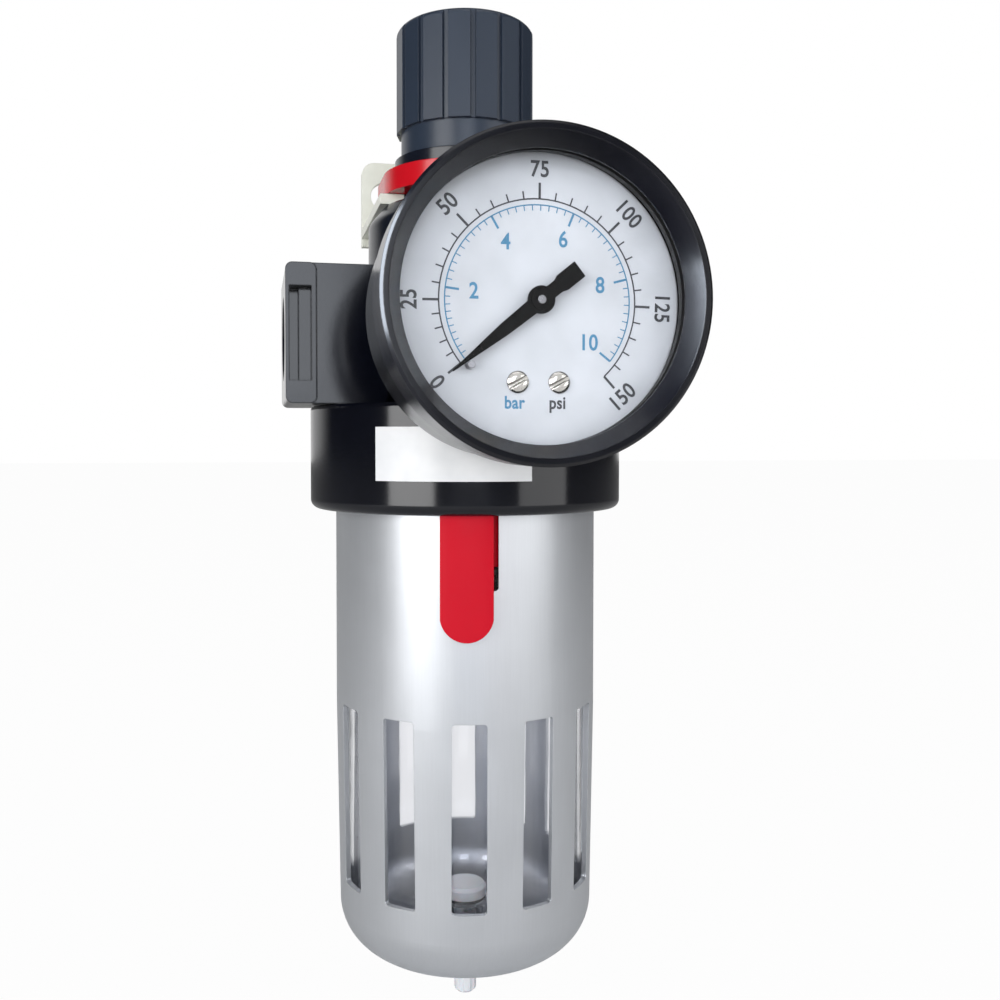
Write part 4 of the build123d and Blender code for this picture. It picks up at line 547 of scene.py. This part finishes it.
class Palette:
    """Every finish of the part, by what it is used for."""

    housing = Coating("housing_paint", "housing", (0.0030, 0.0036, 0.0072), roughness=0.13, dust=0.04)
    bonnet = Moulded("bonnet_plastic", "bonnet", (0.006, 0.0085, 0.016), roughness=0.2)
    knob = Moulded("knob_plastic", "knob", (0.025, 0.037, 0.060), roughness=0.34)
    red = Moulded("red_plastic", "clip", (0.62, 0.005, 0.014), roughness=0.22, through=0.05)
    button = Moulded("button_plastic", "button", (0.60, 0.002, 0.016), roughness=0.24, shine=0.22,
                     through=0.05)
    bracket = Coating("bracket_paint", "bracket", (0.86, 0.87, 0.75), roughness=0.34, dust=0.0)
    guard = Satin("guard_silver", "guard", (0.66, 0.68, 0.71), roughness=0.38, metal=0.82)
    clear = Clear("bowl_clear", "clear", (0.925, 0.93, 0.95), ior=1.5, ripple=0.05 * MM)
    lens = Clear("lens_clear", "lens", (0.98, 0.985, 0.985), ior=1.3)
    rubber = Elastomer("black_rubber", "rubber", (0.018, 0.018, 0.019))
    drain = Moulded("drain_plastic", "drain", (0.80, 0.81, 0.84), roughness=0.25, through=0.3)
    label = Coating("label_film", "label", (0.93, 0.95, 0.97), roughness=0.3, dust=0.0,
                    peel_depth=0.001 * MM, edge=0.05 * MM)
    vanes = Moulded("vane_plastic", "white_plastic", (0.74, 0.74, 0.70), roughness=0.4, through=0.1)
    baffle = Moulded("baffle_plastic", "black_plastic", (0.02, 0.02, 0.022), roughness=0.4)
    element = Porous("element_beads", "sintered", (0.72, 0.70, 0.62))
    brass = Turned("turned_brass", "brass", (0.72, 0.50, 0.20))
    gauge_brass = Turned("gauge_brass", "brass", (0.74, 0.53, 0.23), lay=Lay.FACING)
    steel = Turned("turned_steel", "steel", (0.50, 0.51, 0.53))
    plate = Satin("plate_aluminium", "plate", (0.70, 0.71, 0.72), roughness=0.32)
    plug = Turned("plated_screw", "plug", (0.62, 0.60, 0.57), lay=Lay.FACING, roughness=0.12)
    pin = Satin("pin_nickel", "plug", (0.26, 0.26, 0.28), roughness=0.45)
    arbor = Turned("arbor_steel", "brass", (0.28, 0.28, 0.30), lay=Lay.FACING)
    bezel = Coating("bezel_enamel", "bezel", (0.0016, 0.0018, 0.0040), roughness=0.2, dust=0.03,
                    edge=0.3 * MM)
    dial = Coating("dial_paint", "dial", (0.425, 0.44, 0.475), roughness=0.5, dust=0.0)
    pointer = Moulded("pointer_enamel", "pointer", (0.0015, 0.0015, 0.002), roughness=0.6, shine=0.03,
                      edge=0.08 * MM)
    black_ink = Ink("black_ink", "pointer", (0.020, 0.021, 0.028))
    blue_ink = Ink("blue_ink", "pointer", (0.030, 0.150, 0.270))


# Meshes


def add_object(name: str, data: bpy.types.ID) -> bpy.types.Object:
    """Put an object into the scene.

    Args:
        name: Its name.
        data: Its mesh, curve, lamp or camera.

    Returns:
        The object.
    """
    thing = bpy.data.objects.new(name, data)
    bpy.context.scene.collection.objects.link(thing)
    return thing


def new_piece(name: str, mesh: bpy.types.Mesh, finish: Finish, body: str) -> bpy.types.Object:
    """Put a finished mesh into the scene as a piece of the part.

    Args:
        name: Name of the piece.
        mesh: Its mesh, already in place.
        finish: What it is made of.
        body: The body it moves with.

    Returns:
        The piece.
    """
    piece = add_object(name, mesh)
    mesh.materials.clear()
    mesh.materials.append(finish.material())
    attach(piece, body)
    LOG.info("%s rides on %s", name, body)
    return piece


def prism(build: bmesh.types.BMesh, outline: list[Vector], lift: Vector) -> None:
    """Add a closed flat-topped prism.

    Args:
        build: The mesh being built.
        outline: Corners of its foot in order.
        lift: From its foot to its top.
    """
    foot = [build.verts.new(p) for p in outline]
    top = [build.verts.new(p + lift) for p in outline]
    build.faces.new(foot)
    build.faces.new(list(reversed(top)))
    for i in range(len(foot)):
        j = (i + 1) % len(foot)
        build.faces.new((foot[j], foot[i], top[i], top[j]))


def finish_mesh(build: bmesh.types.BMesh, name: str, smooth: bool = False) -> bpy.types.Mesh:
    """Turn a built mesh into mesh data.

    Args:
        build: The mesh being built; it is freed.
        name: Name of the mesh data.
        smooth: Whether its faces shade smoothly.

    Returns:
        The mesh data.
    """
    bmesh.ops.recalc_face_normals(build, faces=build.faces)
    for face in build.faces:
        face.smooth = smooth
    mesh = bpy.data.meshes.new(name)
    build.to_mesh(mesh)
    build.free()
    return mesh


# Sub-assemblies


@dataclass
class PortBody:
    """The die-cast body with its label, plug and the threads of its two ports.

    A thread's shares are parts of its pitch. port_drop is from the body's top to the ports' axis.
    """

    thread_pitch: float = 1.814 * MM
    thread_depth: float = 0.55 * MM
    thread_turns: float = 7.6
    thread_start: float = 1.2 * MM
    half_foot_share: float = 0.42
    half_crest_share: float = 0.084
    port_radius: float = 9.3 * MM
    port_drop: float = 22 * MM
    steps: int = 40
    fade_steps: int = 12
    least_fade: float = 0.05

    def dress(self) -> None:
        """Give the carried-over pieces their finish."""
        Palette.housing.dress("body_casting")
        Palette.label.dress("blank_label")
        Palette.plug.dress("rear_port_plug")

    def thread_mesh(self, mouth: Vector, inward: float) -> bpy.types.Mesh:
        """One pipe thread as a ridge that winds along the port's wall.

        Args:
            mouth: Middle of the port's mouth.
            inward: Direction along X from the mouth into the body.

        Returns:
            The mesh.
        """
        build = bmesh.new()
        count = int(self.steps * self.thread_turns)
        half_foot = self.thread_pitch * self.half_foot_share
        half_crest = self.thread_pitch * self.half_crest_share
        rows = []
        for i in range(count + 1):
            turn = 2 * math.pi * i / self.steps
            travel = self.thread_start + half_foot + self.thread_pitch * i / self.steps
            fade = min(1.0, i / self.fade_steps, (count - i) / self.fade_steps)
            crest = self.port_radius - self.thread_depth * max(fade, self.least_fade)
            profile = ((self.port_radius, -half_foot), (crest, -half_crest), (crest, half_crest),
                       (self.port_radius, half_foot))
            rows.append([
                build.verts.new(mouth + Vector((inward * (travel + shift),
                                                radius * math.cos(turn), radius * math.sin(turn))))
                for radius, shift in profile
            ])
        for first, second in zip(rows, rows[1:]):
            for k in range(len(first)):
                m = (k + 1) % len(first)
                build.faces.new((first[k], first[m], second[m], second[k]))
        build.faces.new(rows[0])
        build.faces.new(list(reversed(rows[-1])))
        return finish_mesh(build, "thread")

    def build(self) -> None:
        """Wind a thread into both ports."""
        low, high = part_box("body_casting")
        axis_y = sum(corner.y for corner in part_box("bonnet")) / 2
        axis_z = high.z - self.port_drop
        for name, x, inward in (("inlet_thread", low.x, 1.0), ("outlet_thread", high.x, -1.0)):
            mouth = Vector((x, axis_y, axis_z))
            new_piece(name, self.thread_mesh(mouth, inward), Palette.housing, "body")


@dataclass
class RegulatorHead:
    """Bonnet, knob, adjusting parts, clip and bracket."""

    def dress(self) -> None:
        """Give the pieces their finish."""
        Palette.bonnet.dress("bonnet")
        Palette.knob.dress("knob")
        Palette.red.dress("bracket_clip")
        Palette.bracket.dress("bracket")
        Palette.steel.dress("adjusting_screw", "knob_detent_ring", "main_spring")
        Palette.brass.dress("spring_nut")


@dataclass
class ValveStack:
    """Diaphragm, plates, poppet and guide."""

    def dress(self) -> None:
        """Give the pieces their finish."""
        Palette.rubber.dress("diaphragm", "valve_pad", "guide_seal")
        Palette.plate.dress("upper_diaphragm_plate", "lower_diaphragm_plate")
        Palette.brass.dress("valve_poppet", "valve_guide")
        Palette.steel.dress("valve_spring")


@dataclass
class FilterBowl:
    """Bowl, guard, lock, drain and the filter inside."""

    def dress(self) -> None:
        """Give the pieces their finish."""
        Palette.guard.dress("bowl_guard")
        Palette.clear.dress("clear_bowl")
        Palette.button.dress("lock_button", "button_spring")
        Palette.rubber.dress("bowl_seal", "drain_seal")
        Palette.drain.dress("drain_valve")
        Palette.vanes.dress("swirl_deflector")
        Palette.baffle.dress("filter_baffle")
        Palette.element.dress("filter_element")
        Palette.steel.dress("filter_bolt")


@dataclass
class PressureScale:
    """One scale printed on the dial: an arc, its ticks and its numbers.

    Ticks point inward from the arc where tick_inward is 1 and outward where it is -1. per_unit turns
    this scale's unit into pounds per square inch.
    """

    unit: str
    unit_place: tuple[float, float]
    numbers: tuple[str, ...]
    number_radius: float
    follows_arc: bool
    arc_radius: float
    line_width: float
    tick_inward: float
    minor_length: float
    minor_width: float
    major_length: float
    major_width: float
    minor_step: float
    minors_per_major: int
    last_value: float
    per_unit: float


def psi_scale() -> PressureScale:
    """Lay out the black outer scale.

    Returns:
        The scale.
    """
    return PressureScale(
        unit="psi", unit_place=(3.7 * MM, -19.0 * MM),
        numbers=("0", "25", "50", "75", "100", "125", "150"),
        number_radius=24.3 * MM, follows_arc=True,
        arc_radius=18.9 * MM, line_width=0.28 * MM, tick_inward=-1.0,
        minor_length=1.5 * MM, minor_width=0.28 * MM,
        major_length=3.0 * MM, major_width=0.46 * MM,
        minor_step=5.0, minors_per_major=5, last_value=150.0, per_unit=1.0,
    )


def bar_scale() -> PressureScale:
    """Lay out the blue inner scale.

    Returns:
        The scale.
    """
    return PressureScale(
        unit="bar", unit_place=(-4.6 * MM, -19.0 * MM),
        numbers=("", "2", "4", "6", "8", "10"),
        number_radius=12.4 * MM, follows_arc=False,
        arc_radius=17.8 * MM, line_width=0.24 * MM, tick_inward=1.0,
        minor_length=1.05 * MM, minor_width=0.19 * MM,
        major_length=2.6 * MM, major_width=0.42 * MM,
        minor_step=0.2, minors_per_major=10, last_value=10.0, per_unit=14.5038,
    )


@dataclass
class Gauge:
    """Case, bezel, lens, dial with its printing, pointer and movement.

    Directions are in degrees from the right, anticlockwise. Numbers below flip_angle stand with
    their feet outward, as on the real dial.
    """

    ink_height: float = 0.03 * MM
    digit_height: float = 3.35 * MM
    stroke: float = 0.08 * MM
    condense: float = 0.87
    letter_space: float = 1.05
    curve_steps: int = 6
    arc_steps: int = 72
    flip_angle: float = -20.0
    zero_angle: float = 218.5
    first_major_angle: float = 180.6
    major_sweep: float = 45.55
    first_major: float = 25.0
    word_height: float = 2.6 * MM
    capital_share: float = 0.797
    screw_radius: float = 2.1 * MM
    screw_slot: float = 0.8 * MM
    screw_rise: float = 0.9 * MM
    screw_fall: float = 0.62
    slot_floor: float = 0.30
    slot_edge: float = 0.02 * MM
    screw_steps: int = 12
    screw_turn: float = -62.0
    screw_x: float = 4.0 * MM
    screw_y: float = -15.1 * MM
    psi: PressureScale = field(default_factory=psi_scale)
    bar: PressureScale = field(default_factory=bar_scale)

    def dress(self) -> None:
        """Give the carried-over pieces their finish."""
        Palette.bezel.dress("gauge_bezel", "gauge_case")
        Palette.lens.dress("gauge_lens")
        Palette.rubber.dress("lens_gasket")
        Palette.dial.dress("gauge_dial")
        Palette.pointer.dress("gauge_pointer")
        Palette.plug.dress("dial_screws", "case_screws")
        Palette.pin.dress("stop_pin")
        Palette.arbor.dress("pinion_arbor")
        Palette.gauge_brass.dress("gauge_socket", "dial_pillars", "bourdon_tube", "tube_tip",
                                  "rear_movement_plate", "front_movement_plate", "movement_pillars",
                                  "sector_gear", "movement_link")
        Palette.steel.dress("hairspring")

    def on_dial(self, x: float, y: float, above: float = 0.0) -> Vector:
        """Point x to the right of the pointer's axis, y over it, and above in front of the face."""
        low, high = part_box("gauge_dial")
        return Vector(((low.x + high.x) / 2 + x, low.y - above, (low.z + high.z) / 2 + y))

    def angle_of(self, value: float) -> float:
        """Direction of a pressure on the dial.

        Args:
            value: The pressure in pounds per square inch.

        Returns:
            The direction in degrees.
        """
        first = self.zero_angle - self.first_major_angle
        if value <= self.first_major:
            return self.zero_angle - first * value / self.first_major
        return self.first_major_angle - self.major_sweep * (value / self.first_major - 1)

    def polar(self, radius: float, angle: float) -> Vector:
        """Point of the face at a radius from the pointer's axis and a direction in degrees."""
        turn = math.radians(angle)
        return self.on_dial(radius * math.cos(turn), radius * math.sin(turn))

    def print_band(self, build: bmesh.types.BMesh, inner: float, outer: float, start: float,
                   end: float) -> None:
        """Print a curved line between two radii.

        Args:
            build: The mesh being built.
            inner: Inner radius.
            outer: Outer radius.
            start: Direction of one end in degrees.
            end: Direction of the other end.
        """
        count = self.arc_steps
        angles = [start + (end - start) * i / count for i in range(count + 1)]
        outline = [self.polar(inner, a) for a in angles]
        outline += [self.polar(outer, a) for a in reversed(angles)]
        lift = Vector((0, -self.ink_height, 0))
        for i in range(count):
            corners = [outline[i], outline[i + 1], outline[-2 - i], outline[-1 - i]]
            prism(build, corners, lift)

    def print_tick(self, build: bmesh.types.BMesh, inner: float, outer: float, width: float,
                   angle: float) -> None:
        """Print a straight tick along a radius.

        Args:
            build: The mesh being built.
            inner: Radius where it starts.
            outer: Radius where it ends.
            width: Its width.
            angle: Its direction in degrees.
        """
        turn = math.radians(angle)
        along = Vector((math.cos(turn), math.sin(turn)))
        across = Vector((-along.y, along.x)) * (width / 2)
        corners = [along * inner - across, along * outer - across,
                   along * outer + across, along * inner + across]
        prism(build, [self.on_dial(c.x, c.y) for c in corners], Vector((0, -self.ink_height, 0)))

    def print_text(self, build: bmesh.types.BMesh, text: str, height: float, place: Vector,
                   turn: float) -> None:
        """Print a number or a word.

        Args:
            build: The mesh being built.
            text: What it says.
            height: Height of a capital.
            place: Its middle on the dial, in the dial's own right and up.
            turn: How far it is turned, in degrees.
        """
        curve = bpy.data.curves.new("figures", "FONT")
        curve.body = text
        curve.align_x = "CENTER"
        curve.align_y = "CENTER"
        curve.size = height / self.capital_share
        curve.offset = self.stroke
        curve.extrude = self.ink_height / 2
        curve.space_character = self.letter_space
        curve.resolution_u = self.curve_steps
        holder = add_object("figures", curve)
        bpy.context.view_layer.update()
        outlines = holder.evaluated_get(bpy.context.evaluated_depsgraph_get())
        mesh = bpy.data.meshes.new_from_object(outlines)
        spin = Matrix.Rotation(math.radians(turn), 4, "Z")
        stand = Matrix.Rotation(math.radians(90), 4, "X")
        middle = Matrix.Translation(self.on_dial(place.x, place.y, self.ink_height / 2))
        narrow = Matrix.Diagonal((self.condense, 1.0, 1.0, 1.0))
        mesh.transform(middle @ stand @ spin @ narrow)
        build.from_mesh(mesh)
        bpy.data.objects.remove(holder)
        bpy.data.meshes.remove(mesh)

    def print_scale(self, scale: PressureScale, finish: Finish) -> None:
        """Print one whole scale as a piece on the dial.

        Args:
            scale: What is printed.
            finish: Its ink.
        """
        build = bmesh.new()
        half_line = scale.line_width / 2
        ends = [self.angle_of(v * scale.per_unit) for v in (0.0, scale.last_value)]
        self.print_band(build, scale.arc_radius - half_line, scale.arc_radius + half_line, *ends)
        count = round(scale.last_value / scale.minor_step)
        for i in range(count + 1):
            angle = self.angle_of(i * scale.minor_step * scale.per_unit)
            major = i % scale.minors_per_major == 0
            length = scale.major_length if major else scale.minor_length
            width = scale.major_width if major else scale.minor_width
            inner, outer = sorted((scale.arc_radius, scale.arc_radius - scale.tick_inward * length))
            self.print_tick(build, inner, outer, width, angle)
        step = scale.minor_step * scale.minors_per_major
        for i, text in enumerate(scale.numbers):
            angle = self.angle_of(i * step * scale.per_unit)
            turn = 0.0
            if scale.follows_arc:
                turn = angle + 90 if angle < self.flip_angle else angle - 90
            radians = math.radians(angle)
            place = Vector((math.cos(radians), math.sin(radians))) * scale.number_radius
            if text:
                self.print_text(build, text, self.digit_height, place, turn)
        self.print_text(build, scale.unit, self.word_height, Vector(scale.unit_place), 0.0)
        name = f"{scale.unit}_print"
        new_piece(name, finish_mesh(build, name), finish, "body")

    def screw_head(self, build: bmesh.types.BMesh, x: float) -> None:
        """One slotted cheese head with a domed top.

        Args:
            build: The mesh being built.
            x: Its middle to the right of the pointer's axis.
        """
        radius, half_slot, steps = self.screw_radius, self.screw_slot / 2, self.screw_steps
        slope = math.radians(self.screw_turn)
        edge = half_slot + self.slot_edge
        far = [edge + (radius - edge) * math.sin(math.pi / 2 * i / steps) for i in range(steps + 1)]
        across = [-v for v in reversed(far)] + [-half_slot, half_slot] + far
        rows = []
        for u in across:
            reach = math.sqrt(max(radius * radius - u * u, 0.0))
            row = []
            for k in range(2 * steps + 1):
                v = reach * math.sin(math.pi / 2 * (k / steps - 1))
                share = (u * u + v * v) / (radius * radius)
                rise = self.screw_rise * (1.0 - self.screw_fall * share * share)
                if abs(u) <= half_slot:
                    rise = self.screw_rise * self.slot_floor
                right = u * math.cos(slope) - v * math.sin(slope)
                up = u * math.sin(slope) + v * math.cos(slope)
                row.append(build.verts.new(self.on_dial(x + right, self.screw_y + up, rise)))
            rows.append(row)
        for first, second in zip(rows, rows[1:]):
            for k in range(2 * steps):
                build.faces.new((first[k], first[k + 1], second[k + 1], second[k]))
        rim = [row[0] for row in rows] + rows[-1][1:] + [row[-1] for row in reversed(rows[:-1])]
        rim += list(reversed(rows[0][1:-1]))
        face = self.on_dial(0, 0).y
        foot = [build.verts.new(Vector((v.co.x, face, v.co.z))) for v in rim]
        for i in range(len(rim)):
            j = (i + 1) % len(rim)
            build.faces.new((rim[i], rim[j], foot[j], foot[i]))

    def screws(self) -> None:
        """Put the finer heads in the place of the carried-over screws."""
        build = bmesh.new()
        for x in (-self.screw_x, self.screw_x):
            self.screw_head(build, x)
        bmesh.ops.remove_doubles(build, verts=build.verts, dist=SAME_POINT)
        mesh = finish_mesh(build, "dial_screw_heads", True)
        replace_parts(new_piece("dial_screw_heads", mesh, Palette.plug, "body"), "dial_screws")

    def build(self) -> None:
        """Print both scales and fit the screws."""
        self.print_scale(self.psi, Palette.black_ink)
        self.print_scale(self.bar, Palette.blue_ink)
        self.screws()


# Studio and camera


@dataclass
class SoftLight:
    """A flat studio lamp that faces the part.

    Its azimuth is counted from the front towards the outlet, in degrees. Where only names a piece,
    the lamp lights that piece alone.
    """

    name: str
    azimuth: float
    elevation: float
    distance: float
    width: float
    height: float
    brightness: float
    colour: Colour = (1.0, 1.0, 1.0)
    only: str = ""

    def build(self, target: Vector) -> None:
        """Hang the lamp.

        Args:
            target: What it faces.
        """
        lamp = bpy.data.lights.new(self.name, "AREA")
        lamp.shape = "RECTANGLE"
        lamp.size = self.width
        lamp.size_y = self.height
        lamp.energy = self.brightness * math.pi * self.width * self.height
        lamp.color = self.colour
        holder = add_object(self.name, lamp)
        around, up = math.radians(self.azimuth), math.radians(self.elevation)
        level = math.cos(up)
        away = Vector((math.sin(around) * level, -math.cos(around) * level, math.sin(up)))
        holder.location = target + away * self.distance
        holder.rotation_euler = away.to_track_quat("Z", "Y").to_euler()
        if self.only:
            lit = bpy.data.collections.new(f"{self.name}_lit")
            lit.objects.link(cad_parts[self.only])
            holder.light_linking.receiver_collection = lit


@dataclass
class Studio:
    """White room: pale floor, white behind the part, soft lamps.

    A mirrored ray sees the wall behind the part turn from dim to white between wall_from and
    wall_to, which are shares of its direction along Y. Other rays get the ambient light.
    """

    floor_gap: float = 1.5 * MM
    floor_size: float = 14.0
    floor_tone: float = 0.86
    floor_glow: float = 0.97
    ambient: float = 0.17
    wall_from: float = 0.55
    wall_to: float = 0.85
    wall_dim: float = 0.03
    wall_white: float = 0.85
    lamps: tuple[SoftLight, ...] = (
        SoftLight("window_left", azimuth=-50.0, elevation=8.0, distance=1.3,
                  width=0.80, height=0.75, brightness=5.5),
        SoftLight("front_panel", azimuth=-7.0, elevation=13.0, distance=1.4,
                  width=0.58, height=0.60, brightness=3.9, colour=(0.93, 0.98, 1.06)),
        SoftLight("panel_right", azimuth=46.0, elevation=12.0, distance=1.3,
                  width=0.92, height=0.90, brightness=1.9),
        SoftLight("top_panel", azimuth=10.0, elevation=78.0, distance=1.3,
                  width=1.10, height=1.10, brightness=0.9),
        SoftLight("guard_panel", azimuth=15.0, elevation=6.0, distance=1.3,
                  width=0.42, height=0.80, brightness=1.9, colour=(1.03, 0.99, 0.98),
                  only="bowl_guard"),
        SoftLight("rim_panel", azimuth=-76.0, elevation=12.0, distance=0.9,
                  width=0.40, height=1.10, brightness=17.0, colour=(0.88, 0.97, 1.10),
                  only="gauge_bezel"),
    )

    def world(self) -> None:
        """White behind the part, grey around the camera."""
        world = bpy.data.worlds.new("studio")
        world.use_nodes = True
        bpy.context.scene.world = world
        graph = Graph(world.node_tree)
        direction = graph.add("ShaderNodeTexCoord", output="Generated")
        depth = graph.add("ShaderNodeSeparateXYZ", None, {0: direction}, "Y")
        wall = depth.ramp(self.wall_from, self.wall_to) * self.wall_white + self.wall_dim
        seen = graph.seen_by_camera()
        mirrored = graph.add("ShaderNodeLightPath", output="Is Glossy Ray")
        unseen = mirrored * wall + (1.0 - mirrored) * self.ambient
        values = {"Color": WHITE, "Strength": seen + (1.0 - seen) * unseen}
        graph.output(graph.add("ShaderNodeBackground", None, values), "ShaderNodeOutputWorld")

    def floor(self, level: float) -> None:
        """Lay the pale floor.

        Args:
            level: Its height.
        """
        material = bpy.data.materials.new("studio_floor")
        material.use_nodes = True
        graph = Graph(material.node_tree)
        tone = (self.floor_tone, self.floor_tone, self.floor_tone, 1.0)
        matt = graph.surface({"Base Color": tone, "Roughness": 0.8})
        glow = graph.add("ShaderNodeEmission", None, {"Color": WHITE, "Strength": 1.0})
        share = graph.seen_by_camera() * self.floor_glow
        graph.output(graph.add("ShaderNodeMixShader", None, {0: share, 1: matt, 2: glow}))
        build = bmesh.new()
        half = self.floor_size / 2
        places = ((-half, -half), (half, -half), (half, half), (-half, half))
        build.faces.new([build.verts.new((x, y, level)) for x, y in places])
        mesh = finish_mesh(build, "floor")
        mesh.materials.append(material)
        add_object("floor", mesh)

    def build(self) -> None:
        """Set up the room."""
        low, high = (Vector(corner) for corner in CAD_BOX)
        self.world()
        self.floor(low.z - self.floor_gap)
        for lamp in self.lamps:
            lamp.build((low + high) / 2)
        bpy.context.scene.view_settings.view_transform = "Standard"


@dataclass
class Viewpoint:
    """The camera, where the photographer stood.

    It looks along heading, in degrees from +Y towards the outlet, and pitch, upwards. Its focal
    length and its sensor are in millimetres, as a camera has them.
    """

    place: Vector = field(default_factory=lambda: Vector((-51.71, -297.01, -69.82)) * MM)
    heading: float = 11.739
    pitch: float = -1.56
    lens: float = 37.11
    shift_x: float = 0.03
    shift_y: float = -0.03
    sensor: float = 36.0
    near: float = 10 * MM

    def build(self) -> None:
        """Set the camera up."""
        data = bpy.data.cameras.new("viewpoint")
        data.lens = self.lens
        data.sensor_width = self.sensor
        data.shift_x = self.shift_x
        data.shift_y = self.shift_y
        data.clip_start = self.near
        holder = add_object("viewpoint", data)
        holder.location = self.place
        around, up = math.radians(self.heading), math.radians(self.pitch)
        level = math.cos(up)
        forward = Vector((math.sin(around) * level, math.cos(around) * level, math.sin(up)))
        holder.rotation_euler = forward.to_track_quat("-Z", "Y").to_euler()
        bpy.context.scene.camera = holder


def main() -> None:
    """Dress and build every sub-assembly, then the studio and the camera."""
    logging.basicConfig(level=logging.INFO, format="%(message)s")
    body, gauge = PortBody(), Gauge()
    for assembly in (body, RegulatorHead(), ValveStack(), FilterBowl(), gauge):
        assembly.dress()
    body.build()
    gauge.build()
    Studio().build()
    Viewpoint().build()


if __name__ == "__main__":
    main()
